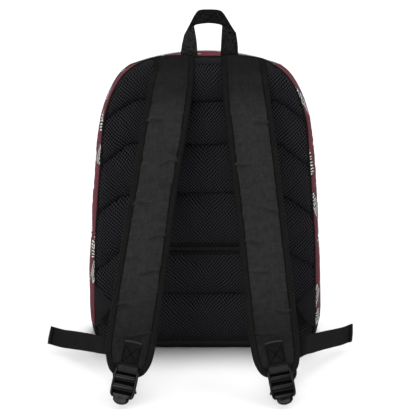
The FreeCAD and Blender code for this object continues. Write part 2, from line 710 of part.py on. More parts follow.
def add_circle(sketch, x, y, radius):
    """Circle; a zero y puts its centre on the sketch's X axis or, with a zero x, its origin."""
    x_value, y_value = as_pair(x)[0], as_pair(y)[0]
    circle = sketch.addGeometry(
        Part.Circle(V(x_value, y_value, 0), V(0, 0, 1), as_pair(radius)[0]), False)
    if x_value:
        constrain(sketch, x, "DistanceX", -1, 1, circle, 3)
    if y_value:
        constrain(sketch, y, "DistanceY", -1, 1, circle, 3)
    constrain(sketch, radius, "Radius", circle)
    if not x_value and not y_value:
        sketch.addConstraint(Sketcher.Constraint("Coincident", circle, 3, -1, 1))
    elif not y_value:
        sketch.addConstraint(Sketcher.Constraint("PointOnObject", circle, 3, -1))


def add_pad(body, name, sketch, size, symmetric=False):
    pad = body.newObject("PartDesign::Pad", name)
    pad.Profile = sketch
    pad.Length, expression = size
    pad.setExpression("Length", expression)
    if symmetric:
        pad.SideType = "Symmetric"
    doc.recompute()
    return pad


def cut_through(body, name, sketch):
    pocket = body.newObject("PartDesign::Pocket", name)
    pocket.Profile = sketch
    pocket.Type = "ThroughAll"
    pocket.SideType = "Symmetric"
    doc.recompute()


def add_fillet(body, name, base, radius, wanted):
    """Rounds the edges whose two end points pass the wanted test."""
    fillet = body.newObject("PartDesign::Fillet", name)
    fillet.Base = (base, ["Edge%d" % i for i, edge in enumerate(base.Shape.Edges, 1)
                          if wanted(edge.Vertexes[0].Point, edge.Vertexes[-1].Point)])
    fillet.Radius = radius
    doc.recompute()
    return fillet


def upright(start, end):
    return abs(start.z - end.z) > 1


# ---------------------------------------------------------------- ladder locks
def add_tongue(body, name):
    """Lifting tongue, narrower than the frame, with a rounded end."""
    half, end_y = dim("TongueHalf"), -dim("TongueEnd")
    root_y, shoulder_y = -dim("LockLength") + 1.5, end_y + 7.6
    sketch = new_sketch(body, name + "_tongue_sketch", "XY_Plane", -0.3)
    root_left, root_right = V(-half, root_y, 0), V(half, root_y, 0)
    shoulder_left, shoulder_right = V(-half, shoulder_y, 0), V(half, shoulder_y, 0)
    sketch.addGeometry([Part.LineSegment(root_left, root_right),
                        Part.LineSegment(root_right, shoulder_right),
                        Part.Arc(shoulder_right, V(0, end_y, 0), shoulder_left),
                        Part.LineSegment(shoulder_left, root_left)], False)
    rule = Sketcher.Constraint
    sketch.addConstraint([rule("Horizontal", 0), rule("Vertical", 1), rule("Vertical", 3),
                          rule("Coincident", 0, 2, 1, 1), rule("Coincident", 3, 2, 0, 1)])
    constrain(sketch, driven("TongueHalf"), "DistanceX", -1, 1, 0, 2)
    add_pad(body, name + "_tongue", sketch, driven("TongueThick"))


def ladder_lock(name, placement):
    """Frame with three windows, three round bars and a tongue."""
    body = new_body(name, placement)
    sketch = new_sketch(body, name + "_frame", "XY_Plane")
    add_rectangle(sketch, driven("LockWidth", -0.5), driven("LockLength", -1.0),
                  driven("LockWidth", 0.5), driven("LockTop"))
    plate = add_pad(body, name + "_plate", sketch, driven("LockThick"), symmetric=True)
    rounded = add_fillet(body, name + "_round", plate, 1.9, upright)
    face_z = dim("LockThick") / 2

    def on_face(start, end):
        return (all(abs(abs(point.z) - face_z) < 1e-6 for point in (start, end))
                and abs(start.z - end.z) < 1e-6)

    add_fillet(body, name + "_soften", rounded, 1.1, on_face)

    sketch = new_sketch(body, name + "_slots", "XY_Plane")
    for bottom, top in ((driven("LockSlotA", -1.0), 6.0),
                        (driven("LockSlotBEnd", -1.0), driven("LockBarAEnd", -1.0)),
                        (driven("LockSlotCEnd", -1.0), driven("LockBarBEnd", -1.0))):
        add_rectangle(sketch, driven("LockInner", -0.5), bottom, driven("LockInner", 0.5), top)
    cut_through(body, name + "_windows", sketch)

    for bar, y, radius in (("top_bar", 0.0, "LockBar"), ("bar_a", -11.2, "CrossBar"),
                           ("bar_b", -22.1, "CrossBar")):
        sketch = new_sketch(body, "%s_%s_sketch" % (name, bar), "YZ_Plane")
        add_circle(sketch, y, 0.0, driven(radius))
        add_pad(body, "%s_%s" % (name, bar), sketch, driven("LockInner", plus=2.0),
                symmetric=True)
    add_tongue(body, name)


for side, placement in lock_place.items():
    ladder_lock("ladder_lock_" + side, placement)


# ---------------------------------------------------------------- zip sliders and pulls
def zip_slider(name, placement, across):
    """Slider; its channel runs along local X, or along local Y when across is set."""
    profile_plane = "XZ_Plane" if across else "YZ_Plane"
    body = new_body(name, placement)
    sketch = new_sketch(body, name + "_body_sketch", profile_plane)
    add_rectangle(sketch, driven("SliderHalf", -1.0), driven("SliderFloor"),
                  driven("SliderHalf"), driven("SliderTop"))
    block = add_pad(body, name + "_body", sketch, driven("SliderLength"), symmetric=True)
    add_fillet(body, name + "_nose", block, 2.0, upright)

    sketch = new_sketch(body, name + "_channel_sketch", profile_plane)
    add_rectangle(sketch, driven("ChannelHalf", -1.0), -1.0,
                  driven("ChannelHalf"), driven("ChannelTop"))
    cut_through(body, name + "_channel", sketch)

    # two lugs, sunk a little into the block, with the pin between them
    sketch = new_sketch(body, name + "_lug_sketch", "YZ_Plane", dim("LugStart"))
    lug_bottom = dim("SliderTop") - 0.6
    add_rectangle(sketch, driven("LugInner"), lug_bottom, driven("LugOuter"), driven("LugTop"))
    add_rectangle(sketch, driven("LugOuter", -1.0), lug_bottom, driven("LugInner", -1.0),
                  driven("LugTop"))
    add_pad(body, name + "_lugs", sketch, driven("LugLength"))
    sketch = new_sketch(body, name + "_pin_sketch", "XZ_Plane")
    add_circle(sketch, driven("PinX"), driven("PinZ"), driven("PinRadius"))
    add_pad(body, name + "_pin", sketch, driven("LugOuter", 2.0), symmetric=True)


def zip_pull(name, placement):
    """Eye round the slider's pin, a short neck and a flat plate with a hole near its end."""
    body = new_body(name, placement)
    sketch = new_sketch(body, name + "_eye_sketch", "XZ_Plane")
    for radius in ("EyeRadius", "EyeHole"):
        add_circle(sketch, driven("PinX"), driven("PinZ"), driven(radius))
    add_pad(body, name + "_eye", sketch, driven("EyeWidth"), symmetric=True)

    plate_z = dim("PinZ") - dim("PullThick") / 2
    sketch = new_sketch(body, name + "_neck_sketch", "XY_Plane", plate_z)
    add_rectangle(sketch, 4.9, driven("EyeWidth", -0.5), 6.6, driven("EyeWidth", 0.5))
    add_pad(body, name + "_neck", sketch, driven("PullThick"))

    sketch = new_sketch(body, name + "_plate_sketch", "XY_Plane", plate_z)
    plate_end = dim("PullStart") + dim("PullLength")
    add_rectangle(sketch, driven("PullStart"), driven("PullWidth", -0.5),
                  (plate_end, "Dimensions.PullStart + Dimensions.PullLength"),
                  driven("PullWidth", 0.5))
    add_circle(sketch, plate_end - 3.8, 0.0, driven("PullHole"))
    plate = add_pad(body, name + "_plate", sketch, driven("PullThick"))
    half_width = dim("PullWidth") / 2

    def plate_corner(start, end):
        return upright(start, end) and abs(abs(start.y) - half_width) < 1e-6

    add_fillet(body, name + "_corners", plate, 2.2, plate_corner)


def crown_place(x):
    """A place on the crown arc: local Z outwards, local X towards the front."""
    degrees = math.degrees(math.asin(x / crown_radius))
    turn = FreeCAD.Rotation(V(0, 1, 0), degrees).multiply(FreeCAD.Rotation(V(0, 0, 1), 90))
    z = crown_z + math.sqrt(crown_radius ** 2 - x * x)
    return FreeCAD.Placement(V(x, zip_middle_y, z), turn)


PARK_INSET = 9.0  # from the end of a pocket zip's tape to its slider
back_slider_place = FreeCAD.Placement(V(back_zip_left + PARK_INSET, back_tape_y, back_zip_z),
                                      FreeCAD.Rotation(V(1, 0, 0), 90))
front_slider_place = front_place.multiply(
    at(-front_zip_length / 2 + PARK_INSET, front_zip_y, tape_thick))
# the two crown pulls droop over the front edge, turned about their pins
droop = FreeCAD.Placement(V(0, 0, 0), FreeCAD.Rotation(V(0, 1, 0), dim("PullDroop")),
                          V(dim("PinX"), 0, dim("PinZ")))
# (zip, name ending, slider's place, on the crown)
SLIDERS = [
    ("main", "_right", crown_place(dim("SliderParkRight")), True),
    ("main", "_left", crown_place(dim("SliderParkLeft")), True),
    ("back", "", back_slider_place, False),
    ("front", "", front_slider_place, False),
]
for zip_name, ending, placement, on_crown in SLIDERS:
    zip_slider(zip_name + "_slider" + ending, placement, across=on_crown)
    zip_pull(zip_name + "_pull" + ending, placement.multiply(droop) if on_crown else placement)

# ---------------------------------------------------------------- check and export
doc.recompute()
os.makedirs("parts", exist_ok=True)
bad = [item.Name + " " + str(item.State) for item in doc.Objects
       if any(word in ("Invalid", "Error") for word in item.State)]
for piece in pieces:
    shape = piece.Shape
    if shape.isNull() or not shape.isValid() or shape.Volume <= 0 or not shape.Solids:
        bad.append(piece.Label + " shape")
if bad:
    raise RuntimeError("bad shapes: " + ", ".join(bad))
for piece in pieces:
    piece.Shape.exportStep("parts/%s.step" % piece.Label)
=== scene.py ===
"""A backpack standing on the floor, seen from the side that lies against the wearer.

Frame: +X across to the side named right, -Y towards the wearer (the back panel and the
shoulder straps), +Y towards the front pocket, +Z up, the base at z = 0. Shapes and texture
lengths are worked out in millimetres and scaled to metres when a mesh is made.
"""
import json
import math

import bpy
import numpy as np
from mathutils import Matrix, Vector

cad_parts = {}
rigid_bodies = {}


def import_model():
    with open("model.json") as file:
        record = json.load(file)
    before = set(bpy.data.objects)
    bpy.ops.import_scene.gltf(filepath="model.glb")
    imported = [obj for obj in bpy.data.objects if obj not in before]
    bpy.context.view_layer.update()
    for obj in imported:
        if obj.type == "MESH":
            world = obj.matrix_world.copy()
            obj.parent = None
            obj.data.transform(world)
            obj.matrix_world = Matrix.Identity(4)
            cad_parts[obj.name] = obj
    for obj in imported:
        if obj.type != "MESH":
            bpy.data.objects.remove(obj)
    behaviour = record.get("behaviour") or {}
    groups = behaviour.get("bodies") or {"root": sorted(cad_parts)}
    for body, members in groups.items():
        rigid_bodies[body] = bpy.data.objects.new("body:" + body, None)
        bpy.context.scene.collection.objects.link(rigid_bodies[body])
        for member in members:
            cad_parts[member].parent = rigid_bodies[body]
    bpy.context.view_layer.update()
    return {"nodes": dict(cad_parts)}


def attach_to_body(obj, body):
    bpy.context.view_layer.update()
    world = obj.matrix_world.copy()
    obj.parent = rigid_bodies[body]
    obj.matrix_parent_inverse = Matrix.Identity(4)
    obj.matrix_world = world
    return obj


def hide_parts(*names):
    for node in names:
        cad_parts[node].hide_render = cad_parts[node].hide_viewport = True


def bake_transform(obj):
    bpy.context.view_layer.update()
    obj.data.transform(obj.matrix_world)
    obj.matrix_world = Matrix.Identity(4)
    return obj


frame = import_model()


MM = 0.001
PI = math.pi
TO_WEARER = np.array([0.0, -1.0, 0.0])
TO_FRONT = np.array([0.0, 1.0, 0.0])
UPWARD = np.array([0.0, 0.0, 1.0])


# =====================================================================
# Numbers, noise and curves
# =====================================================================


def points(x, y, z):
    """Three coordinates, broadcast together, as one (..., 3) array."""
    return np.stack(np.broadcast_arrays(x, y, z), -1)


def unit(vectors):
    return vectors / np.linalg.norm(vectors, axis=-1, keepdims=True)


def ease(start, end, value):
    """Smooth step from 0 at start to 1 at end."""
    part = np.clip((value - start) / (end - start), 0, 1)
    return part * part * (3 - 2 * part)


def swell(part, power):
    """Rises from 0 to 1, steeply at first and flat at the end."""
    return 1 - (1 - np.clip(part, 0, 1)) ** power


def crowd_ends(spread, power):
    """Draws values in -1..1 towards both ends."""
    return np.sign(spread) * swell(np.abs(spread), power)


def crowd_top(spread, power):
    """Draws values in 0.5..1 towards 1."""
    return np.where(spread > 0.5, 1 - 0.5 * (2 * (1 - spread)) ** power, spread)


def squared_circle(angle, power):
    """Cosine and sine of a circle whose corners are filled out as the power falls below 1."""
    cosine, sine = np.cos(angle), np.sin(angle)
    return (np.sign(cosine) * np.abs(cosine) ** power,
            np.sign(sine) * np.abs(sine) ** power)


def lattice_value(i, j, k, seed):
    """Repeatable value in -1..1 for whole-number lattice points."""
    mixed = (i * 374761393 + j * 668265263 + k * 1103515245 + seed * 974711) & 0xFFFFFFFF
    mixed = ((mixed ^ (mixed >> 13)) * 1274126177) & 0xFFFFFFFF
    mixed = mixed ^ (mixed >> 16)
    return (mixed & 0xFFFF) / 32767.5 - 1.0


def value_noise(place, seed=0):
    """Value noise in -1..1 for an (..., 3) array."""
    place = np.asarray(place, float)
    cell = np.floor(place)
    part = place - cell
    part = part * part * part * (part * (part * 6 - 15) + 10)
    i, j, k = [cell[..., axis].astype(np.int64) for axis in range(3)]
    total = 0
    for di in (0, 1):
        wi = part[..., 0] if di else 1 - part[..., 0]
        for dj in (0, 1):
            wj = part[..., 1] if dj else 1 - part[..., 1]
            for dk in (0, 1):
                wk = part[..., 2] if dk else 1 - part[..., 2]
                total = total + wi * wj * wk * lattice_value(i + di, j + dj, k + dk, seed)
    return total


def wander(seed, x, y=0, z=0):
    return value_noise(points(x, y, z), seed)


def layered_noise(place, scale, seed, stretch=(1, 1, 1)):
    """Three octaves of value noise, scaled back to -1..1."""
    place = np.asarray(place, float) / (scale * np.array(stretch, float))
    weight, total, weights = 1.0, 0.0, 0.0
    for octave in range(3):
        shifted = place * 2 ** octave + 17.3 * octave + 100.0
        total = total + weight * value_noise(shifted, seed + octave * 31)
        weights += weight
        weight *= 0.5
    return total / weights


def ridged_noise(place, scale, seed, stretch):
    """Noise with sharp ridges where plain noise crosses zero."""
    scaled = np.asarray(place, float) / (scale * np.array(stretch, float))
    return 1 - 2 * np.abs(value_noise(scaled + 50.0, seed))


def catmull(before, here, there, after, part):
    """Point between here and there on a curve through four stations."""
    return 0.5 * (2 * here + (there - before) * part
                  + (2 * before - 5 * here + 4 * there - after) * part * part
                  + (3 * here - before - 3 * there + after) * part ** 3)


def spline(stations, steps):
    """Smooth curve through the stations, with a number of steps between neighbours."""
    knots = np.array(stations, float)
    curve = []
    last = len(knots) - 1
    for i in range(last):
        here, there = knots[i], knots[i + 1]
        before = knots[i - 1] if i else 2 * here - there
        after = knots[i + 2] if i + 1 < last else 2 * there - here
        for k in range(steps):
            curve.append(catmull(before, here, there, after, k / steps))
    curve.append(knots[-1])
    return np.array(curve)


def lengths_along(line):
    steps = np.linalg.norm(np.diff(line, axis=0), axis=1)
    return np.concatenate([[0], np.cumsum(steps)])


def at_length(line, lengths, where):
    """Points on a polyline at given lengths along it."""
    return np.stack([np.interp(where, lengths, column) for column in line.T], -1)


def resample(line, count):
    line = np.asarray(line, float)
    lengths = lengths_along(line)
    return at_length(line, lengths, np.linspace(0, lengths[-1], count))


def line_distance(x, z, lines):
    """Distance to the nearest of some polylines, and the length along it there."""
    nearest = np.full(x.shape, 1e9)
    along = np.zeros(x.shape)
    for line in lines:
        line = np.asarray(line, float)
        passed = 0.0
        for start, end in zip(line[:-1], line[1:]):
            step = end - start
            square = step @ step
            if square < 1e-12:
                continue
            part = ((x - start[0]) * step[0] + (z - start[1]) * step[1]) / square
            part = np.clip(part, 0, 1)
            gap = np.hypot(x - start[0] - part * step[0], z - start[1] - part * step[1])
            closer = gap < nearest
            nearest = np.where(closer, gap, nearest)
            along = np.where(closer, passed + part * math.sqrt(square), along)
            passed += math.sqrt(square)
    return nearest, along


def rim_distance(x, z, seam):
    """Distance from a seam outline, closed along the base, and the length along it."""
    return line_distance(x, z, [np.concatenate([seam[::6], seam[:1]])])


def rim_ripple(gap, along, height, reach, seed):
    """Small waves that die away from a seam."""
    phase = 3 * wander(seed, along / 30)
    return height * np.exp(-gap / reach) * np.sin(along * 2 * PI / 12 + phase)


def nearest_index(first, second, first_at, second_at):
    return np.argmin((first - first_at) ** 2 + (second - second_at) ** 2)


# =====================================================================
# Materials
# =====================================================================
BLACK = (0.0, 0.0, 0.0)


def toned(color, factor):
    return tuple(value * factor for value in color)


class Shader:
    """A Principled material with short calls for its nodes; lengths are in millimetres."""

    def __init__(self, name, rough, spec, metal=0.0, sheen=0.0):
        self.material = bpy.data.materials.new(name)
        self.material.use_nodes = True
        self.tree = self.material.node_tree
        self.surface = self.tree.nodes["Principled BSDF"]
        self.texture_places = self.node("TexCoord")
        self.set("Roughness", rough)
        self.set("Specular IOR Level", spec)
        self.set("Metallic", metal)
        if sheen:
            self.set("Sheen Weight", sheen)
            self.set("Sheen Roughness", 0.5)

    def node(self, kind, **settings):
        node = self.tree.nodes.new("ShaderNode" + kind)
        for key, value in settings.items():
            setattr(node, key, value)
        return node

    def feed(self, socket, value):
        """Links an output to a socket, or sets the socket's own value."""
        if hasattr(value, "is_output"):
            self.tree.links.new(value, socket)
        elif socket.type == "RGBA":
            socket.default_value = (*value, 1)
        else:
            socket.default_value = value

    def set(self, key, value):
        self.feed(self.surface.inputs[key], value)

    def math(self, operation, first, second=0.0, third=None, clamp=False):
        node = self.node("Math", operation=operation, use_clamp=clamp)
        self.feed(node.inputs[0], first)
        self.feed(node.inputs[1], second)
        if third is not None:
            self.feed(node.inputs[2], third)
        return node.outputs[0]

    def add(self, first, second):
        return self.math("ADD", first, second)

    def sub(self, first, second):
        return self.math("SUBTRACT", first, second)

    def mul(self, first, second):
        return self.math("MULTIPLY", first, second)

    def mul_add(self, value, factor, offset, clamp=False):
        return self.math("MULTIPLY_ADD", value, factor, offset, clamp)

    def vector(self, operation, first, second):
        node = self.node("VectorMath", operation=operation)
        self.feed(node.inputs[0], first)
        self.feed(node.inputs[1], second)
        return node.outputs[0]

    def coords(self, kind):
        """UV or Object coordinates in millimetres."""
        return self.vector("MULTIPLY", self.texture_places.outputs[kind], (1 / MM,) * 3)

    def split(self, vector):
        node = self.node("SeparateXYZ")
        self.feed(node.inputs[0], vector)
        return node.outputs

    def noise(self, vector, scale, detail, rough=0.55):
        node = self.node("TexNoise")
        self.feed(node.inputs["Vector"], vector)
        node.inputs["Scale"].default_value = scale
        node.inputs["Detail"].default_value = detail
        node.inputs["Roughness"].default_value = rough
        return node.outputs["Fac"]

    def mix(self, amount, first, second):
        node = self.node("Mix", data_type="RGBA")
        self.feed(node.inputs[0], amount)
        self.feed(node.inputs[6], first)
        self.feed(node.inputs[7], second)
        return node.outputs[2]

    def tones(self, amount, base, dark, light):
        """From a darker to a lighter tone of one color."""
        return self.mix(amount, toned(base, dark), toned(base, light))

    def darken(self, amount, color):
        return self.mix(amount, color, BLACK)

    def ramp(self, value, low, high):
        node = self.node("MapRange", interpolation_type="SMOOTHSTEP")
        self.feed(node.inputs[0], value)
        node.inputs[1].default_value = low
        node.inputs[2].default_value = high
        return node.outputs[0]

    def bump(self, height, strength, depth):
        node = self.node("Bump")
        node.inputs["Strength"].default_value = strength
        node.inputs["Distance"].default_value = depth * MM
        self.feed(node.inputs["Height"], height)
        self.set("Normal", node.outputs[0])

    def wave(self, value, pitch):
        """Cosine wave in 0..1 along a coordinate."""
        turns = self.mul_add(value, 2 * PI / pitch, 0.0)
        return self.mul_add(self.math("COSINE", turns), 0.5, 0.5)

    def weave(self, x, y, pitch):
        """Height of over and under threads."""
        across = self.sub(self.wave(x, pitch), 0.5)
        along = self.sub(self.wave(y, pitch), 0.5)
        return self.mul_add(self.mul(across, along), 2.0, 0.5, clamp=True)


def cloth(name, base, weave, kind="UV", rough=0.85, spec=0.12, sheen=0.06, shade_ramps=(), grain=0.0):
    """Plain woven cloth. Each shade ramp (from z, to z, brightness left) is painted shade that
    darkens the colour towards its second z.
    """
    mat = Shader(name, rough, spec, sheen=sheen)
    flat = mat.coords(kind)
    x, y, _ = mat.split(flat)
    wobble = mat.noise(flat, scale=0.25, detail=2)
    threads = mat.weave(mat.mul_add(wobble, 0.35, x), mat.mul_add(wobble, -0.35, y), weave)
    body = mat.coords("Object")
    slow = mat.noise(body, scale=0.03, detail=4, rough=0.6)
    lint = mat.noise(body, scale=0.9, detail=2)
    color = mat.tones(mat.add(mat.mul(threads, 0.55), mat.mul(lint, 0.45)), base, 0.75, 1.25)
    worn = mat.mul(mat.ramp(slow, 0.45, 0.75), 0.12)
    color = mat.mix(worn, color, toned(base, 1.9))
    if grain:
        squeezed = mat.vector("MULTIPLY", body, (1.0, 1.0, 0.35))
        mottle = mat.add(mat.mul(mat.noise(body, scale=0.42, detail=3, rough=0.7), 0.6),
                         mat.mul(mat.noise(squeezed, scale=0.16, detail=3, rough=0.6), 0.4))
        color = mat.mix(mat.ramp(mottle, 0.30, 0.70), mat.darken(grain, color),
                        mat.mix(grain * 0.12, color, (0.25, 0.25, 0.26)))
    # painted shade: each ramp darkens the colour along z
    if shade_ramps:
        height = mat.split(body)[2]
    for start, end, left in shade_ramps:
        if start < end:
            soiled = mat.ramp(height, start, end)
        else:
            soiled = mat.sub(1.0, mat.ramp(height, end, start))
        color = mat.darken(mat.mul(soiled, 1 - left), color)
    mat.set("Base Color", color)
    mat.set("Roughness", mat.mul_add(slow, 0.15, rough - 0.08))
    mat.bump(threads, strength=0.5, depth=0.12)
    return mat


def ribbed(name, base, pitch, spec, bump, cross=0.0, grain=0.0, bands=0.0, soil=None):
    """Tape with ribs across its length (UV v) and a finer wave across its width (UV u).

    cross slants the ribs into a zigzag of that half width, bands darkens slow bands across
    the tape, and the side shade (from x, to x, brightness left) is painted shade that darkens it
    along X.
    """
    mat = Shader(name, 0.8, spec)
    flat = mat.coords("UV")
    across, along, _ = mat.split(flat)
    slanted = mat.mul_add(mat.noise(flat, scale=0.4, detail=2), 0.25, along)
    if cross:
        slanted = mat.add(slanted, mat.mul(mat.math("PINGPONG", across, cross), 0.8))
    ribs = mat.mul(mat.wave(slanted, pitch), 0.7)
    height = mat.mul_add(mat.wave(across, pitch * 0.62), 0.3, ribs)
    body = mat.coords("Object")
    slow = mat.noise(body, scale=0.05, detail=4, rough=0.6)
    shade = mat.mul_add(mat.noise(body, scale=1.1, detail=2), 0.4, mat.mul(height, 0.6))
    color = mat.tones(shade, base, 0.65, 1.35)
    worn = mat.mul(mat.ramp(slow, 0.5, 0.8), 0.15)
    color = mat.mix(worn, color, toned(base, 2.0))
    if bands:
        place = mat.mul_add(mat.noise(flat, scale=0.15, detail=2), 5.0, along)
        patches = mat.ramp(mat.noise(body, scale=0.09, detail=2), 0.3, 0.7)
        color = mat.darken(mat.mul(mat.mul(mat.wave(place, 3.7), patches), bands), color)
    if grain:
        mottle = mat.noise(body, scale=0.36, detail=3, rough=0.75)
        color = mat.mix(mat.ramp(mottle, 0.32, 0.68), mat.darken(grain, color),
                        mat.mix(grain * 0.6, color, toned(base, 2.2)))
    # painted shade: darkens the colour along x
    if soil:
        start, end, left = soil
        soiled = mat.ramp(mat.split(body)[0], start, end)
        color = mat.darken(mat.mul(soiled, 1 - left), color)
    mat.set("Base Color", color)
    mat.bump(height, strength=bump, depth=0.22)
    return mat


def webbing(name, base, spec, **more):
    return ribbed(name, base, pitch=1.5, spec=spec, bump=0.8, cross=3.0, **more)


def spacer_mesh(name, kind):
    """Open cells in staggered rows with knitted ridges between them."""
    # the holes are painted near black, as the shade inside the open cells
    fibre, hole_shade = (0.0312, 0.0298, 0.0346), (0.0008, 0.0006, 0.0010)
    cell_width, cell_height = 4.2, 5.2
    mat = Shader(name, 0.9, 0.06)
    flat = mat.coords(kind)
    x, y, z = mat.split(flat)
    wobble = mat.noise(flat, scale=0.12, detail=2)
    drift = mat.noise(flat, scale=0.022, detail=2)
    across = mat.add(mat.mul_add(wobble, 1.2, x), mat.mul(drift, 9.0))
    along = mat.mul_add(mat.noise(flat, scale=0.1, detail=1), 1.0, z if kind == "Object" else y)
    sag = mat.mul(mat.noise(flat, scale=0.03, detail=2), 8.0)
    along = mat.add(along, mat.mul_add(mat.math("ABSOLUTE", x), 0.22, sag))
    columns = mat.math("COSINE", mat.mul(across, 2 * PI / cell_width))
    rows = mat.math("COSINE", mat.mul(along, 2 * PI / cell_height))
    cell = mat.ramp(mat.mul(columns, rows), -0.04, 0.24)
    # no specular in the holes: painted shade
    mat.set("Specular IOR Level", mat.mul_add(cell, -0.06, 0.06))
    knit = mat.mul(mat.wave(across, 0.6), mat.wave(along, 0.5))
    body = mat.coords("Object")
    slow = mat.noise(body, scale=0.03, detail=3)
    shade = mat.mul_add(mat.noise(body, scale=1.2, detail=2), 0.6, mat.mul(knit, 0.4))
    color = mat.tones(shade, fibre, 0.55, 1.45)
    color = mat.mix(mat.mul(mat.ramp(slow, 0.4, 0.8), 0.2), color, toned(fibre, 1.5))
    mat.set("Base Color", mat.mix(cell, color, hole_shade))
    mat.bump(mat.mul_add(mat.sub(1.0, cell), 1.0, mat.mul(knit, 0.15)), strength=0.9, depth=0.55)
    return mat


def stroke_layer(mat, flat, cell, shift, thin, share):
    """White and dark-rim masks for scattered clusters of strokes, one to a Voronoi cell.

    thin is half a stroke's width and share the part of the cells that carry a cluster.
    """

    def shifted():
        return mat.vector("ADD", flat, (shift, shift * 1.7, 0))

    cells = mat.node("TexVoronoi", feature="F1")
    cells.inputs["Scale"].default_value = 1.0 / cell
    cells.inputs["Randomness"].default_value = 0.85
    mat.feed(cells.inputs["Vector"], shifted())
    x, y, _ = mat.split(mat.vector("SUBTRACT", shifted(), cells.outputs["Position"]))
    chance = mat.node("SeparateColor")
    mat.feed(chance.inputs[0], cells.outputs["Color"])
    turn, length, presence = chance.outputs
    # each cluster is turned its own way, then warped
    angle = mat.mul_add(turn, 1.5, -0.75)
    cosine, sine = mat.math("COSINE", angle), mat.math("SINE", angle)
    across = mat.add(mat.mul(x, cosine), mat.mul(y, sine))
    along = mat.sub(mat.mul(y, cosine), mat.mul(x, sine))
    across = mat.add(across, mat.mul_add(mat.noise(flat, scale=0.16, detail=2), 5.0, -2.5))
    moved = mat.vector("ADD", flat, (70, 31, 0))
    along = mat.add(along, mat.mul_add(mat.noise(moved, scale=0.13, detail=2), 5.0, -2.5))
    # a short row of slanting strokes of uneven height
    half = mat.mul_add(length, 8.0, 13.0)
    tick = mat.math("PINGPONG", mat.mul_add(along, 0.35, across), 2.3)
    spread = mat.vector("MULTIPLY", flat, (1.6, 1.6, 1))
    height = mat.mul_add(mat.noise(spread, scale=0.26, detail=1), 9.0, 1.6)
    beyond_top = mat.sub(mat.math("ABSOLUTE", along), height)
    beyond_end = mat.sub(mat.math("ABSOLUTE", across), half)
    row = mat.math("MAXIMUM", mat.math("MAXIMUM", tick, beyond_top), beyond_end)
    # one long thin stroke beside it
    long_end = mat.sub(mat.math("ABSOLUTE", mat.add(across, 1.5)), mat.mul(half, 1.1))
    single = mat.math("MAXIMUM", mat.math("ABSOLUTE", mat.add(along, 9.6)), long_end)
    gap = mat.math("MINIMUM", row, single)
    gap = mat.add(gap, mat.mul_add(mat.noise(flat, scale=1.1, detail=2), 0.5, -0.25))
    keep = mat.ramp(presence, 1 - share - 0.01, 1 - share)
    white = mat.mul(mat.sub(1.0, mat.ramp(gap, thin, thin + 0.25)), keep)
    rim = mat.mul(mat.sub(1.0, mat.ramp(gap, thin + 1.7, thin + 2.2)), keep)
    return white, rim


def printed_cloth(name, base):
    """Maroon cloth printed with clusters of thin pale strokes, each with a dark rim."""
    mat = Shader(name, 0.82, 0.07, sheen=0.02)
    flat = mat.coords("UV")
    x, y, _ = mat.split(flat)
    body = mat.coords("Object")
    white, rim = stroke_layer(mat, flat, cell=50.0, shift=0.0, thin=0.85, share=0.86)
    white_few, rim_few = stroke_layer(mat, flat, cell=40.0, shift=211.0, thin=0.7, share=0.12)
    white = mat.math("MAXIMUM", white, mat.mul(white_few, mat.sub(1.0, rim)))
    rim = mat.math("MAXIMUM", rim, rim_few)
    threads = mat.weave(x, y, 0.8)
    slow = mat.noise(body, scale=0.02, detail=4, rough=0.6)
    shade = mat.mul_add(mat.noise(body, scale=0.8, detail=3), 0.5, mat.mul(threads, 0.5))
    color = mat.tones(shade, base, 0.72, 1.28)
    color = mat.mix(mat.mul(slow, 0.4), color, toned(base, 0.5))
    color = mat.mix(mat.mul(rim, 0.9), color, (0.014, 0.012, 0.013))
    worn = mat.ramp(mat.noise(body, scale=0.35, detail=3), 0.30, 0.55)
    ink = mat.mul(white, mat.mul_add(worn, 0.30, 0.70))
    mat.set("Base Color", mat.mix(ink, color, (0.88, 0.87, 0.85)))
    mat.bump(threads, strength=0.4, depth=0.12)
    return mat


def hard(name, base, rough, spec, metal=0.0, scratch=0.25):
    """Plastic or metal whose roughness varies by the amount scratch."""
    mat = Shader(name, rough, spec, metal)
    body = mat.coords("Object")
    slow = mat.noise(body, scale=0.09, detail=4, rough=0.6)
    fine = mat.noise(body, scale=2.4, detail=2)
    shade = mat.mul_add(fine, 0.4, mat.mul(slow, 0.6))
    mat.set("Base Color", mat.tones(shade, base, 0.75, 1.35))
    patches = mat.ramp(slow, 0.35, 0.75)
    mat.set("Roughness", mat.mul_add(patches, scratch, rough - scratch / 2))
    mat.bump(fine, strength=0.25, depth=0.06)
    return mat


# strap cloth with painted shade: darker above z 335 towards the top and below z 160 towards the
# foot
STRAP_CLOTH = cloth("strap_cloth", (0.0222, 0.0222, 0.0234), weave=0.9, spec=0.08, sheen=0.0,
                    shade_ramps=((335, 385, 0.50), (160, 70, 0.57)), grain=0.28)
PLAIN = cloth("plain_cloth", (0.0175, 0.0172, 0.0188), weave=0.8, spec=0.06, sheen=0.0)
LINER = cloth("liner_cloth", (0.05, 0.05, 0.055), weave=0.7)
PRINT = printed_cloth("print_cloth", (0.160, 0.0335, 0.0475))
MESH = spacer_mesh("spacer_mesh", "Object")
MESH_UV = spacer_mesh("spacer_mesh_uv", "UV")
BINDING = ribbed("binding_tape", (0.0100, 0.0100, 0.0095), pitch=1.0, spec=0.05, bump=0.5,
                 bands=0.42, grain=0.22)
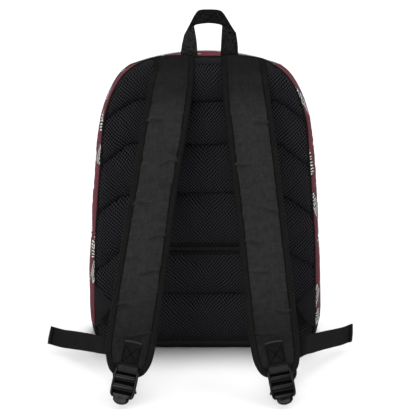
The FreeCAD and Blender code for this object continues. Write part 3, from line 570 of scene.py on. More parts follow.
# the base webbing material, worn by no piece so far
webbing("webbing", (0.0125, 0.0125, 0.0130), spec=0.1)
# near-black copy of the webbing for the wrap behind the lock's bars: painted shade in the slots
WRAP_SHADE_WEB = webbing("dark_webbing", (0.0030, 0.0030, 0.0032), spec=0.05)
TAIL_WEB = webbing("tail_webbing", (0.0057, 0.0057, 0.0061), spec=0.07)
# loop webbing with painted shade: darker from x 4 to x 26, over the right leg
LOOP_WEB = webbing("loop_webbing", (0.0222, 0.0222, 0.0222), spec=0.06, grain=0.8,
                   soil=(4, 26, 0.55))
# darker copy of the loop webbing for the grip: painted shade
SHADED_GRIP_WEB = webbing("grip_webbing", (0.0088, 0.0088, 0.0090), spec=0.06, grain=0.8)
ZIP_TAPE = ribbed("zip_tape", (0.0125, 0.0125, 0.013), pitch=0.8, spec=0.08, bump=0.4)
COIL = hard("zip_coil", (0.012, 0.012, 0.0125), rough=0.5, spec=0.22)
DARK_THREAD = ribbed("dark_thread", (0.0030, 0.0030, 0.0030), pitch=0.5, spec=0.05, bump=0.3)
THREAD = ribbed("thread", (0.0065, 0.0065, 0.0065), pitch=0.5, spec=0.06, bump=0.3)
PLASTIC = hard("moulded_plastic", (0.0012, 0.0012, 0.0013), rough=0.20, spec=0.18, scratch=0.08)
PATCH_WEB = webbing("patch_webbing", (0.0086, 0.0086, 0.0090), spec=0.08, grain=0.4)
# lighter copy of the patch webbing for its turn round the lock's upper bar: painted highlight
LIT_TURN_WEB = webbing("turn_webbing", (0.021, 0.021, 0.0215), spec=0.10, grain=0.3)
# light webbing for the ridge of turned-under end: painted highlight
LIT_FOLD_WEB = ribbed("fold_webbing", (0.034, 0.034, 0.035), pitch=1.2, spec=0.12, bump=0.5,
                  cross=2.0)
METAL = hard("slider_metal", (0.016, 0.016, 0.018), rough=0.36, spec=0.5, metal=0.55)
FOAM = cloth("foam", (0.03, 0.03, 0.032), weave=2.2, kind="Object", rough=0.95, spec=0.05)


# =====================================================================
# Meshes
# =====================================================================


def make_object(name, verts, faces, mat, uv=None):
    """Smooth-shaded mesh object from millimetre vertices."""
    mesh = bpy.data.meshes.new(name)
    mesh.from_pydata((np.asarray(verts) * MM).tolist(), [], np.asarray(faces, object).tolist()
                     if isinstance(faces, np.ndarray) else faces)
    if uv is not None:
        layer = mesh.uv_layers.new(name="UVMap")
        corners = np.zeros(len(mesh.loops), np.int64)
        mesh.loops.foreach_get("vertex_index", corners)
        values = (np.asarray(uv)[corners] * MM).astype(np.float32)
        layer.data.foreach_set("uv", values.ravel())
    mesh.materials.append(mat.material)
    mesh.polygons.foreach_set("use_smooth", [True] * len(mesh.polygons))
    mesh.validate()
    mesh.update()
    obj = bpy.data.objects.new(name, mesh)
    bpy.context.scene.collection.objects.link(obj)
    return obj


def grid_normals(grid):
    normals = np.cross(np.gradient(grid, axis=0), np.gradient(grid, axis=1))
    return normals / np.maximum(np.linalg.norm(normals, axis=2, keepdims=True), 1e-9)


def grid_uv(grid):
    """Lengths along the rows' direction (from 0) and across it (centred), in mm."""
    rows, cols = grid.shape[:2]
    along = np.cumsum(np.linalg.norm(np.diff(grid, axis=0), axis=2), 0)
    across = np.cumsum(np.linalg.norm(np.diff(grid, axis=1), axis=2), 1)
    along = np.concatenate([np.zeros((1, cols)), along], 0)
    across = np.concatenate([np.zeros((rows, 1)), across], 1)
    along = np.broadcast_to(along.mean(1, keepdims=True), along.shape)
    return along, across - across.mean(1, keepdims=True)


def grid_faces(index):
    corners = [index[:-1, :-1], index[1:, :-1], index[1:, 1:], index[:-1, 1:]]
    return np.stack(corners, 2).reshape(-1, 4)


def faces_away(grid, towards, probe=...):
    """True when the probed normals point away from a direction, or from one per point."""
    return bool((grid_normals(grid)[probe] * towards).sum(-1).mean() < 0)


def sheet(name, grid, mat, thick=None, back=None, towards=None, probe=..., flip=False,
          swap=False):
    """Closed thin body on an (rows, cols, 3) grid of its outer face.

    The inner face is back, or lies thick behind the outer one. towards settles which way
    the outer face looks, judged at the probed rows; swap runs UV v along the rows' direction.
    """
    rows, cols = grid.shape[:2]
    if towards is not None:
        flip = faces_away(grid, towards, probe)
    if back is None:
        normals = grid_normals(grid)
        back = grid - (-normals if flip else normals) * thick
    along, across = grid_uv(grid)
    uv = np.stack([across, along] if swap else [along, across], 2).reshape(-1, 2)
    index = np.arange(rows * cols).reshape(rows, cols)
    offset = rows * cols

    def rim(line):
        start, end = line[:-1], line[1:]
        return np.stack([start, end, end + offset, start + offset], 1)

    outer = grid_faces(index)
    faces = np.concatenate([
        outer, outer[:, ::-1] + offset,
        rim(index[:, 0]), rim(index[:, -1])[:, ::-1],
        rim(index[0])[:, ::-1], rim(index[-1]),
    ])
    if flip:
        faces = faces[:, ::-1]
    verts = np.concatenate([grid.reshape(-1, 3), back.reshape(-1, 3)])
    return make_object(name, verts, faces, mat, np.concatenate([uv, uv]))


def tube_faces(rings, sides, first=0, flip=False):
    """Quads and end caps for a stack of rings whose vertices start at first."""
    faces = []
    for i in range(rings - 1):
        here, there = first + i * sides, first + (i + 1) * sides
        for j in range(sides):
            after = (j + 1) % sides
            quad = [here + j, here + after, there + after, there + j]
            faces.append(quad[:1] + quad[:0:-1] if flip else quad)
    start_cap = list(range(first, first + sides))[::-1]
    end_cap = list(range(first + (rings - 1) * sides, first + rings * sides))
    faces += [start_cap[::-1], end_cap[::-1]] if flip else [start_cap, end_cap]
    return faces


# Rod sections: part of the length, part of the radius
THREAD_RINGS = ((0.0, 0.35), (0.18, 0.95), (0.5, 1.08), (0.82, 0.95), (1.0, 0.35))
TOOTH_RINGS = ((0.0, 0.8), (0.08, 1.0), (0.92, 1.0), (1.0, 0.8))


def rods(name, segments, radius, mat, sides=5, rings=THREAD_RINGS):
    """Many short threads or teeth in one mesh, each segment being (start, end, up)."""
    verts, faces, uv = [], [], []
    angles = np.linspace(0, 2 * PI, sides, endpoint=False)
    for start, end, up in segments:
        axis = end - start
        length = np.linalg.norm(axis)
        if length < 1e-6:
            continue
        axis = axis / length
        up = up - axis * (up @ axis)
        up = up / max(np.linalg.norm(up), 1e-9)
        side = np.cross(axis, up)
        faces += tube_faces(len(rings), sides, first=len(verts))
        for part, size in rings:
            for angle in angles:
                spoke = side * math.cos(angle) + up * math.sin(angle)
                verts.append(start + axis * length * part + spoke * radius * size)
                uv.append((angle * radius, length * part))
    return make_object(name, verts, faces, mat, uv)


def stitch_run(line, normals, pitch, gap, lift, seed):
    """Thread segments along a line; normals is one per point, or one for all."""
    line = np.asarray(line, float)
    normals = np.broadcast_to(np.asarray(normals, float), line.shape)
    lengths = lengths_along(line)
    total = lengths[-1]
    count = max(1, int(total / pitch))
    rng = np.random.RandomState(seed)
    segments = []
    for i in range(count):
        ends = []
        for where in (total * i / count + gap / 2, total * (i + 1) / count - gap / 2):
            ends.append((at_length(line, lengths, where), at_length(normals, lengths, where)))
        (start, start_normal), (end, end_normal) = ends
        jitter = rng.uniform(-0.12, 0.12, 3)
        segments.append((start + start_normal * lift + jitter * 0.5,
                         end + end_normal * lift - jitter * 0.5, start_normal))
    return segments


def join(name, objects):
    bpy.ops.object.select_all(action="DESELECT")
    for obj in objects:
        obj.select_set(True)
    bpy.context.view_layer.objects.active = objects[0]
    bpy.ops.object.join()
    joined = bpy.context.view_layer.objects.active
    joined.name = name
    joined.data.name = name
    return joined


def attach(obj, slot, body, *nodes):
    """Gives a piece the body it rides on, and names the CAD nodes it replaces; slot is not used."""
    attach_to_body(obj, body)
    if nodes:
        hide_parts(*nodes)


def add_stitches(name, segments, radius, mat=THREAD, body="bag", sides=5):
    attach(rods(name, segments, radius, mat, sides), "binding_tape", body)


def zip_teeth(name, line, normals, across, node):
    """A coil zip: looped teeth reaching to both sides of a line."""
    pitch, half, radius = 1.45, 2.2, 0.52
    line = np.asarray(line, float)
    normals = np.broadcast_to(np.asarray(normals, float), line.shape)
    across = np.array(across, float)
    lengths = lengths_along(line)
    count = int(lengths[-1] / pitch)
    teeth = []
    for i in range(count):
        where = (i + 0.5) * lengths[-1] / count
        place = at_length(line, lengths, where)
        normal = unit(at_length(normals, lengths, where))
        slant = np.cross(normal, across) * (0.28 if i % 2 else -0.28)
        for side in (-1, 1):
            teeth.append((place + across * side * half + normal * 0.55 - slant * side,
                          place - across * side * 0.15 + normal * 0.95, normal))
    attach(rods(name, teeth, radius, COIL, rings=TOOTH_RINGS), "zip_coil", "bag", node)


# =====================================================================
# Cloth simulation
# =====================================================================
SIM_SCALE = 0.01    # simulation units to a millimetre
SIM_FRAMES = 20
SIM_STIFFNESS = 12.0


def simulate(grid, held, towards, pressure, grow, cap):
    """How far each point moves when cloth swells between its held points, in mm.

    grow is the part by which the cloth grows, cap the largest movement.
    """
    rows, cols = grid.shape[:2]
    faces = grid_faces(np.arange(rows * cols).reshape(rows, cols))
    if faces_away(grid, towards):
        faces = faces[:, ::-1]
    mesh = bpy.data.meshes.new("sim")
    mesh.from_pydata((grid.reshape(-1, 3) * SIM_SCALE).tolist(), [], faces.tolist())
    mesh.update()
    obj = bpy.data.objects.new("sim", mesh)
    bpy.context.scene.collection.objects.link(obj)
    group = obj.vertex_groups.new(name="pin")
    group.add([int(i) for i in np.nonzero(held.ravel())[0]], 1.0, "REPLACE")
    modifier = obj.modifiers.new("Cloth", "CLOTH")
    settings = modifier.settings
    settings.quality = 5
    settings.mass = 0.25
    settings.tension_stiffness = SIM_STIFFNESS
    settings.compression_stiffness = SIM_STIFFNESS
    settings.shear_stiffness = SIM_STIFFNESS * 0.5
    settings.bending_stiffness = 0.4
    settings.air_damping = 1.0
    settings.use_pressure = True
    settings.uniform_pressure_force = pressure
    settings.effector_weights.gravity = 0
    settings.vertex_group_mass = "pin"
    settings.pin_stiffness = 1.0
    settings.shrink_min = -grow
    modifier.collision_settings.use_collision = False
    modifier.collision_settings.use_self_collision = False
    modifier.point_cache.frame_start = 1
    modifier.point_cache.frame_end = SIM_FRAMES
    scene = bpy.context.scene
    for number in range(1, SIM_FRAMES + 1):
        scene.frame_set(number)
    evaluated = obj.evaluated_get(bpy.context.evaluated_depsgraph_get())
    result = evaluated.to_mesh()
    places = np.zeros(len(result.vertices) * 3, np.float32)
    result.vertices.foreach_get("co", places)
    evaluated.to_mesh_clear()
    bpy.data.objects.remove(obj, do_unlink=True)
    bpy.data.meshes.remove(mesh)
    scene.frame_set(1)
    move = places.reshape(rows, cols, 3).astype(float) / SIM_SCALE - grid
    move[~np.isfinite(move)] = 0
    length = np.linalg.norm(move, axis=2, keepdims=True)
    return move / np.maximum(length, 1e-9) * (cap * np.tanh(length / cap))


def refine_rows(grid, count):
    """Smooth resampling of a grid along its first axis."""
    last = grid.shape[0] - 1
    place = np.linspace(0, last, count)
    row = np.clip(np.floor(place).astype(int), 0, last - 1)
    part = (place - row).reshape((-1,) + (1,) * (grid.ndim - 1))
    return catmull(grid[np.clip(row - 1, 0, last)], grid[row], grid[row + 1],
                   grid[np.clip(row + 2, 0, last)], part)


def draped(grid, held, coarse, towards, pressure=2.0, grow=0.03, cap=2.0):
    """Simulates a coarse (rows, cols) copy of the grid and carries the movement back."""
    rows, cols = grid.shape[:2]
    pick = np.ix_(*(np.round(np.linspace(0, fine - 1, few)).astype(int)
                    for fine, few in zip((rows, cols), coarse)))
    if towards.ndim == 3:
        towards = towards[pick]
    move = simulate(grid[pick], held[pick], towards, pressure, grow, cap)
    # the picked rows are near enough evenly spaced for an even resample
    move = np.swapaxes(refine_rows(move, rows), 0, 1)
    return grid + np.swapaxes(refine_rows(move, cols), 0, 1)


def hold_rim(held):
    held[:, 0] = held[:, -1] = True
    held[0], held[-1] = True, True
    return held


# =====================================================================
# Outlines: back seam, widest line and front seam, right halves from the base up, as (x, z)
# =====================================================================
BACK_SEAM_Y = -58.0
ZIP_BACK_Y, ZIP_FRONT_Y = -8.0, 16.0
FRONT_Y = 56.0                  # front seam at the base
FRONT_SLOPE = 0.063             # how far the front leans back per unit of height
BAG_TOP = 410.0                 # top of the back seam
CROWN_RADIUS, CROWN_TOP = 290.0, 407.0
CROWN_ANGLE = math.radians(21)  # half the arc over the top of the widest line
CROWN_CENTRE = CROWN_TOP - CROWN_RADIUS
CROWN_END = (CROWN_RADIUS * math.sin(CROWN_ANGLE),
             CROWN_CENTRE + CROWN_RADIUS * math.cos(CROWN_ANGLE))
HALF_POINTS = 241

BACK_STATIONS = [
    (100, 0), (116, 0), (128, 0.1), (141, 1.7), (149, 7), (153, 18), (154, 40), (153, 100),
    (151, 157), (146.6, 213), (141.4, 269), (137.7, 313), (133, 335), (125.3, 357),
    (114.5, 377), (105, 388.3), (92, 398.5), (77, 405.5), (60, 408.8), (38, 410), (0, 410)]
WIDEST_STATIONS = [
    (104, 0), (120, 0), (132, 0.1), (147, 1.8), (157, 8), (162, 20), (163.6, 45), (163.4, 80),
    (162.2, 112), (159.6, 150), (156.6, 198.7), (151.6, 256.3), (149.0, 285), (144.8, 313),
    (141.0, 328), (136.2, 342), (130.4, 355), (122.6, 369), (114.0, 379.8), CROWN_END]
FRONT_STATIONS = [
    (94, 0), (110, 0), (122, 0.1), (135, 1.7), (144, 8), (149, 20), (151, 45), (151, 95),
    (149, 150), (144.5, 213), (138.5, 269), (132, 315), (126, 337), (116, 357), (103, 373),
    (88, 384.5), (70, 392.5), (45, 397.5), (0, 399)]


def whole_outline(half):
    """Right half from the base up to the top, then its mirror image down to the base."""
    right = resample(half, HALF_POINTS)
    return np.concatenate([right, right[::-1][1:] * [-1, 1]])


crown_angles = CROWN_ANGLE * (1 - np.arange(21) / 20)
crown_arc = np.stack([CROWN_RADIUS * np.sin(crown_angles),
                      CROWN_CENTRE + CROWN_RADIUS * np.cos(crown_angles)], 1)
BACK_SEAM = whole_outline(spline(BACK_STATIONS, 6))
WIDEST = whole_outline(np.concatenate([spline(WIDEST_STATIONS, 6)[:-1], crown_arc]))
FRONT_SEAM = whole_outline(spline(FRONT_STATIONS, 6))
OUTLINE_POINTS = len(BACK_SEAM)
# where the gusset's top pieces meet its side pieces, and those meet the base
SIDE_TOP = int(np.argmin(np.abs(WIDEST[:HALF_POINTS, 1] - 150)))
SIDE_FOOT = int(np.argmin(np.abs(WIDEST[:HALF_POINTS, 1] - 26)))


def half_width(seam, z):
    right = seam[:HALF_POINTS]
    return np.interp(z, right[:, 1], right[:, 0])


def back_top(x):
    """Height of the back seam's upper edge."""
    right = BACK_SEAM[:HALF_POINTS]
    upper = right[right[:, 1] > 300][::-1]
    return np.interp(np.abs(x), upper[:, 0], upper[:, 1])


# =====================================================================
# Gusset, base and main zip
# =====================================================================
BAG_CENTRE = np.array([0.0, 0.0, 200.0])


def ring_column(span):
    """Outline at a span from 0 (back seam) by 1 and 2 (zip edges) to 3 (front seam)."""
    if span <= 1:
        bulge = math.sin(span * PI / 2) ** 0.85
        outline = BACK_SEAM + (WIDEST - BACK_SEAM) * bulge
        depth = BACK_SEAM_Y + (ZIP_BACK_Y - BACK_SEAM_Y) * span
    elif span <= 2:
        outline = WIDEST.copy()
        outline[:, 1] -= 1.4 * ease(380, 404, outline[:, 1]) * ease(1.55, 2.0, span)
        depth = ZIP_BACK_Y + (ZIP_FRONT_Y - ZIP_BACK_Y) * (span - 1)
    else:
        bulge = math.sin((3 - span) * PI / 2) ** 0.85
        outline = FRONT_SEAM + (WIDEST - FRONT_SEAM) * bulge
        outline[:, 1] -= 1.4 * ease(380, 404, outline[:, 1]) * (1 - ease(2.5, 3.0, span))
        front = FRONT_Y - 2.5 - FRONT_SLOPE * FRONT_SEAM[:, 1]
        depth = ZIP_FRONT_Y + (front - ZIP_FRONT_Y) * (span - 2)
    return points(outline[:, 0], depth, outline[:, 1])


def ring_grid(spans, first, last, creases=0.0, seed=3):
    """Part of the ring round the bag, creased and puckered, with its outward normals."""
    grid = np.stack([ring_column(span) for span in spans], 1)[first:last]
    normals = grid_normals(grid)
    middle, normal = grid[len(grid) // 2], normals[len(grid) // 2]
    if middle[0, 2] > 200:
        inward = normal[:, 2].mean() < 0
    else:
        inward = (normal[:, 0] * middle[:, 0]).mean() < 0
    if inward:
        normals = -normals
    reach = spans[-1] - spans[0]
    here = spans[None, :]
    seam = np.minimum(np.abs(here - spans[0]), np.abs(here - spans[-1])) / reach
    soft = 0.9 * layered_noise(grid, 52, seed)
    sharp = 0.55 * ridged_noise(grid, 34, seed + 7, (1.0, 0.6, 1.0))
    height = creases * np.clip(seam * 2 * 1.6, 0, 1) * (soft + sharp - 0.3)
    near = np.exp(-seam * (reach * 45) / 6.0)
    phase = grid_uv(grid)[0] * 2 * PI / 11 + 3 * value_noise(grid / 25.0, seed + 2)
    height = height + creases * 0.5 * (near * (1 - near) * 1.6 * np.sin(phase))
    return grid + normals * height[..., None], normals


def zip_hood(grid, normals, spans):
    """Lifts the zip edge and turns it into a soft roll that hoods the coil over the crown."""
    here = spans[None, :]
    up = np.clip(normals[..., 2:3], 0, 1) ** 5
    lift = (2.3 * ease(0.72, 0.93, here))[..., None] * up
    wobble = 0.4 * layered_noise(grid, 26, 7) * ease(0.7, 0.9, here)
    grid = grid + normals * (lift + wobble[..., None])
    edge, normal, up = grid[:, -1], normals[:, -1], up[:, -1]
    roll = []
    for forward, rise in ((1.0, 0.15), (1.9, -0.35), (2.5, -1.1), (2.7, -2.0), (2.5, -3.0)):
        row = edge + normal * (rise * (0.25 + 0.75 * up))
        row[:, 1] += forward
        roll.append(row)
    return np.concatenate([grid, np.stack(roll, 1)], 1)


def gusset_piece(name, node, spans, first, last, creases, seed, coarse, hooded=False):
    grid, normals = ring_grid(spans, first, last, creases, seed)
    held = hold_rim(np.zeros(grid.shape[:2], bool))
    grid = draped(grid - normals * 0.7, held, coarse, normals)
    if hooded:
        grid = zip_hood(grid, normals, spans)
    obj = sheet(name, grid, PRINT, thick=1.6, towards=grid - BAG_CENTRE)
    attach(obj, "print_fabric", "bag", node)


def gusset():
    top = dict(first=SIDE_TOP, last=OUTLINE_POINTS - SIDE_TOP)
    gusset_piece("gusset_rear_cloth", "gusset_top_rear", np.linspace(0.02, 0.955, 30), **top,
                 creases=0.9, seed=3, coarse=(150, 18), hooded=True)
    gusset_piece("gusset_front_cloth", "gusset_top_front", np.linspace(2.02, 2.98, 18), **top,
                 creases=0.8, seed=11, coarse=(150, 12))
    for side, first, last, seed in (
            ("right", SIDE_FOOT, SIDE_TOP + 1, 29),
            ("left", OUTLINE_POINTS - SIDE_TOP - 1, OUTLINE_POINTS - SIDE_FOOT, 23)):
        gusset_piece("gusset_side_cloth_" + side, "gusset_side_" + side,
                     np.linspace(0.02, 2.98, 60), first, last, creases=1.1, seed=seed,
                     coarse=(44, 40))


def base():
    """Both rounded foot corners and the flat bottom in one sheet."""
    columns = []
    for span in np.linspace(0.02, 2.98, 46):
        column = ring_column(span)
        flat = points(np.linspace(column[0, 0], column[-1, 0], 90), column[0, 1], 0.0)
        columns.append(np.concatenate([column[:SIDE_FOOT + 1][::-1], flat[1:-1],
                                       column[OUTLINE_POINTS - SIDE_FOOT - 1:][::-1]]))
    grid = np.stack(columns, 1)
    lift = np.clip(0.5 + 0.5 * layered_noise(grid, 60, 5), 0, 1)
    grid[..., 2] += lift * np.where(grid[..., 2] < 2, 0.5, 0.0)
    obj = sheet("base_cloth", grid, PLAIN, thick=1.6, towards=grid - BAG_CENTRE)
    attach(obj, "plain_fabric", "bag", "gusset_bottom")


def main_zip():
    first, last = SIDE_TOP, OUTLINE_POINTS - SIDE_TOP
    grid, _ = ring_grid(np.linspace(1.02, 1.98, 12), first, last)
    tape = sheet("main_zip_tape_cloth", grid, ZIP_TAPE, thick=1.4, towards=grid - BAG_CENTRE)
    attach(tape, "zip_tape", "bag", "main_zip_tape")
    path = WIDEST[first:last]
    tangents = unit(np.gradient(path, axis=0))
    normals = points(tangents[:, 1], 0.0, -tangents[:, 0])
    middle = points(path[:, 0], (ZIP_BACK_Y + ZIP_FRONT_Y) / 2, path[:, 1])
    zip_teeth("main_zip_teeth", middle, normals, TO_FRONT, "main_zip_coil")
    inset = 1.4
    stitches = []
    for depth, seed in ((ZIP_BACK_Y + inset, 34), (ZIP_FRONT_Y - inset, 54)):
        row = points(path[:, 0], depth, path[:, 1])
        stitches += stitch_run(row, normals, pitch=3.2, gap=0.9, lift=0.25, seed=seed)
    add_stitches("main_zip_stitch", stitches, 0.28)


def edge_binding(name, node, seam, sign, depth, slope, height, seed):
    """Rounded tape round a seam and back along the base, at y = depth - slope * z."""
    width, overlap, sides = 4.0, 0.6, 14
    base_x = np.linspace(seam[-1, 0], seam[0, 0], 60)[1:-1]
    loop = np.concatenate([seam, np.stack([base_x, 0 * base_x], 1)])
    loop = resample(np.concatenate([loop, loop[:1]]), 721)[:-1]
    tangents = unit(np.roll(loop, -1, 0) - np.roll(loop, 1, 0))
    cosine, sine = squared_circle(np.linspace(0, 2 * PI, sides, endpoint=False), 0.7)
    push = cosine * width / 2 - width / 2 + overlap
    along = np.arange(len(loop)) * 1.75
    wobble = (0.28 * np.sin(along / 4.1 + 2 * wander(seed, along / 30))
              + 0.35 * wander(seed + 1, along / 9.0))
    y = (depth - slope * loop[:, 1] + sign * wobble)[:, None] + sign * sine * height / 2
    z = loop[:, 1:] - tangents[:, :1] * push
    grid = points(loop[:, :1] + tangents[:, 1:] * push, y, np.maximum(z, 0.15))
    here = np.arange(len(loop) * sides).reshape(len(loop), sides)
    there = np.roll(here, -1, 0)
    corners = [here, np.roll(here, -1, 1), np.roll(there, -1, 1), there]
    faces = np.stack(corners, 2).reshape(-1, 4)
    uv = np.stack(np.broadcast_arrays(np.arange(sides) * 0.8, along[:, None]), 2)
    obj = make_object(name, grid.reshape(-1, 3), faces if sign > 0 else faces[:, ::-1],
                      BINDING, uv.reshape(-1, 2))
    attach(obj, "binding_tape", "bag", node)


# =====================================================================
# Back panel: quilted spacer mesh, bands, pocket zip and inner layers
# =====================================================================
QUILT_Y = -59.4
# stitched channels across the mesh, from left to right, as (x, z)
UPPER_SEAMS = [spline(stations, 5) for stations in (
    [(-135, 322), (-123, 331), (-106, 343), (-92, 350), (-80, 351.5), (0, 349), (84, 351.5),
     (100, 347), (118, 335), (140, 316)],
    [(-139, 262), (-133, 267), (-112, 283), (-92, 292.5), (0, 290), (91, 292.5), (112, 281),
     (138.6, 261), (143, 257)],
    [(-146, 194), (-137, 201), (-122, 212), (-104, 219.5), (0, 223), (99, 219.5), (122, 209),
     (143, 193.5), (147, 190)])]
LOWER_SEAM = spline([(-128, 60), (-112, 69), (-90, 76), (-60, 79), (0, 79), (60, 79), (90, 76),
                     (112, 69), (128, 60)], 5)
# the line that parts the two mesh panels, as (x, z)
PANEL_SPLIT = np.array([(-152, 112), (-137, 122), (-125, 133.5), (-113, 141.5),
                        (108, 141.5), (120, 135), (134, 127), (152, 117)])


def split_height(x, margin, zip_margin):
    """Height beside the parting line, further off along the pocket zip in the middle."""
    over_zip = ease(-113, -108, x) * (1 - ease(103, 108, x))
    return np.interp(x, PANEL_SPLIT[:, 0], PANEL_SPLIT[:, 1]) + margin + over_zip * zip_margin


def quilt(name, node, low, high, shape, seams, puff, seed, coarse):
    """Padded panel between two heights (functions of x), as wide as the outline allows."""
    rows, cols = shape
    across = crowd_ends(np.linspace(-1, 1, rows), 1.25)[:, None]
    up = crowd_top(np.linspace(0, 1, cols), 1.25)[None, :]
    x = across * 150 + 0 * up
    for _ in range(8):
        z = low(x) + (high(x) - low(x)) * up
        x = across * (half_width(BACK_SEAM, np.clip(z, 3, 409.6)) - 1.6)
    seam_gap, along = line_distance(x, z, seams)
    rim_gap, rim_along = rim_distance(x, z, BACK_SEAM)
    end_gap = np.minimum(z - low(x), high(x) - z)
    gap = np.minimum(seam_gap, np.maximum(end_gap, 0))
    rim_puff = swell((rim_gap - 1.0) / 10.0, 2.2)
    flat = points(x, 0, z)
    height = puff * swell(gap / 27.0, 3.2) * (0.35 + 0.65 * rim_puff) + 1.2 * rim_puff
    height = height + 0.7 * layered_noise(flat, 46, seed, (1.6, 1, 0.8)) * rim_puff
    # gathers that run away from each stitched channel
    gathers = 0.45 * np.exp(-gap / 7.5) * (1 - np.exp(-gap / 1.6))
    phase = along * 2 * PI / 15 + 4 * wander(seed + 5, along / 40, gap / 14)
    height = height + gathers * np.sin(phase)
    height = height + gathers * wander(seed + 8, along / 5.0, gap / 9.0)
    height = height + rim_ripple(rim_gap, rim_along, 0.3, 8.0, seed + 9)
    # flat under the side tabs
    under_tab = ease(104, 126, np.abs(x)) * (1 - ease(80, 108, z))
    grid = points(x, QUILT_Y - height * (1 - 0.85 * under_tab), z)
    held = hold_rim((seam_gap < 1.7) | (rim_gap < 2.6) | (end_gap < 1.5))
    grid = draped(grid, held, coarse, TO_WEARER, pressure=3.0, cap=3.4)
    grid[..., 1] += 2.1 * np.exp(-(seam_gap / 2.0) ** 2)
    grid[..., 1] = np.minimum(grid[..., 1], QUILT_Y - 0.2)
    back = points(grid[..., 0], QUILT_Y + 1.6, grid[..., 2])
    obj = sheet(name, grid, MESH, back=back, towards=TO_WEARER)
    attach(obj, "spacer_mesh", "bag", node)
    return grid


def back_quilts():
    upper = quilt("back_mesh_upper_quilt", "back_mesh_upper",
                  low=lambda x: split_height(x, 0.6, 8.0), high=lambda x: 399.7 + 0 * x,
                  shape=(230, 260), seams=UPPER_SEAMS, puff=5.0, seed=3, coarse=(110, 120))
    lower = quilt("back_mesh_lower_quilt", "back_mesh_lower",
                  low=lambda x: 8.6 + 0 * x, high=lambda x: split_height(x, -0.6, -1.8),
                  shape=(220, 120), seams=[LOWER_SEAM], puff=4.4, seed=8, coarse=(110, 56))
    stitches = []
    for grid, seams, count, seed in ((upper, UPPER_SEAMS, 160, 4), (lower, [LOWER_SEAM], 120, 5)):
        for seam in seams:
            line = resample(seam, count)
            line = line[np.abs(line[:, 0]) < half_width(BACK_SEAM, line[:, 1]) - 5]
            row = [(x, grid[..., 1].flat[nearest_index(grid[..., 0], grid[..., 2], x, z)], z)
                   for x, z in line]
            stitches += stitch_run(row, TO_WEARER, pitch=3.2, gap=0.8, lift=0.25, seed=seed)
    # real stitching, drawn thick and almost unbroken in dark thread to also paint the shade in the
    # channels' grooves
    add_stitches("quilt_stitch", stitches, 0.55, DARK_THREAD)


def top_band():
    """Band inside the upper back seam, widest at the top."""
    upper = np.nonzero(BACK_SEAM[:, 1] > 362)[0]
    edge = BACK_SEAM[upper]
    tangents = unit(np.gradient(BACK_SEAM, axis=0)[upper])
    inward = np.stack([-tangents[:, 1], tangents[:, 0]], 1)
    inward *= np.sign((inward * ([0, 200.0] - edge)).sum(1, keepdims=True))
    width = 2.2 + 2.6 * ease(362, 378, edge[:, 1]) + 4.6 * ease(386, 403, edge[:, 1])
    part = np.linspace(0, 1, 12)
    inset = 1.2 + (width[:, None] - 0.6) * part
    grid = points(edge[:, :1] + inward[:, :1] * inset, 0.0, edge[:, 1:] + inward[:, 1:] * inset)
    grid[..., 1] = -61.9 - np.sin(part * PI)[None, :] - 0.3 * layered_noise(grid, 16, 2)
    obj = sheet("top_band_cloth", grid, PLAIN, thick=1.4, towards=TO_WEARER)
    attach(obj, "plain_fabric", "bag", "top_reinforcement")


def flat_piece(name, node, slot, mat, x_range, z_range, y, shape, thick, bulge, end_rise=0.0):
    """Upright flat piece facing the wearer; end_rise slopes its lower edge up past x = 128."""
    across = np.linspace(0, 1, shape[0])[:, None]
    up = np.linspace(0, 1, shape[1])[None, :]
    x = x_range[0] + (x_range[1] - x_range[0]) * across
    low = z_range[0] + np.clip(np.abs(x) - 128, 0, 99) * end_rise
    grid = points(x, 0.0, low + (z_range[1] - low) * up)
    grid[..., 1] = y - bulge * np.sin(up * PI) - 0.35 * layered_noise(grid, 18, 2)
    obj = sheet(name, grid, mat, thick=thick, towards=TO_WEARER)
    attach(obj, slot, "bag", node)


def back_zip():
    """Tape, two rolled lips and the coil between them."""
    zip_z = 144.5
    flat_piece("back_zip_tape_cloth", "back_zip_tape", "zip_tape", ZIP_TAPE, (-114.5, 107.5),
               (zip_z - 5.0, zip_z + 5.0), y=-61.0, shape=(160, 12), thick=0.8, bulge=-0.35)
    x = np.linspace(-115.5, 108.5, 150)[:, None]
    angle = np.linspace(0, 2 * PI, 10)
    for phase, (name, offset) in enumerate((("upper", 6.3), ("lower", -6.3))):
        y = -61.6 + 1.3 * np.sin(angle) + 0.2 * np.sin(x / 5 + phase)
        grid = points(x, y, zip_z + offset + 1.9 * np.cos(angle))
        lip = sheet("back_zip_lip_" + name, grid, BINDING, thick=0.35, flip=True, swap=True)
        attach(lip, "binding_tape", "bag")
    x = np.linspace(-111, 104, 60)
    zip_teeth("back_zip_teeth", points(x, -61.55, zip_z), TO_WEARER, UPWARD, "back_zip_coil")
    stitches = []
    for offset in (6.6, -6.6):
        stitches += stitch_run(points(x, -62.9, zip_z + offset), TO_WEARER,
                               pitch=3.0, gap=0.8, lift=0.1, seed=6)
    add_stitches("back_zip_stitch", stitches, 0.26)


def back_slab(name, node, slot, mat, near_y, far_y, wobble, seed):
    """Padding or cloth inside the back seam, thinning towards its rim."""
    inset = 3.0
    across = np.linspace(-1, 1, 70)[:, None]
    up = (0.5 - 0.5 * np.cos(np.linspace(0, 1, 90) * PI))[None, :]
    low, high = 0.6 + inset, BAG_TOP - inset - 0.2
    z = low + (high - low) * up
    x = across * (half_width(BACK_SEAM, np.clip(z, 1.0, 409.8)) - inset)
    flat = points(x, 0, z)
    full = (np.minimum(1, (1 - np.abs(across)) * 12)
            * np.minimum(1, np.minimum(up, 1 - up) * 25))
    thin = (1 - full) * (far_y - near_y) * 0.3
    near = near_y + thin + 0.3 * wobble * (layered_noise(flat, 30, seed) + 0.4)
    far = far_y - thin - 0.3 * wobble * (layered_noise(flat, 26, seed + 3) + 0.4)
    obj = sheet(name, points(x, near, z), mat, back=points(x, far, z), towards=TO_WEARER)
    attach(obj, slot, "bag", node)


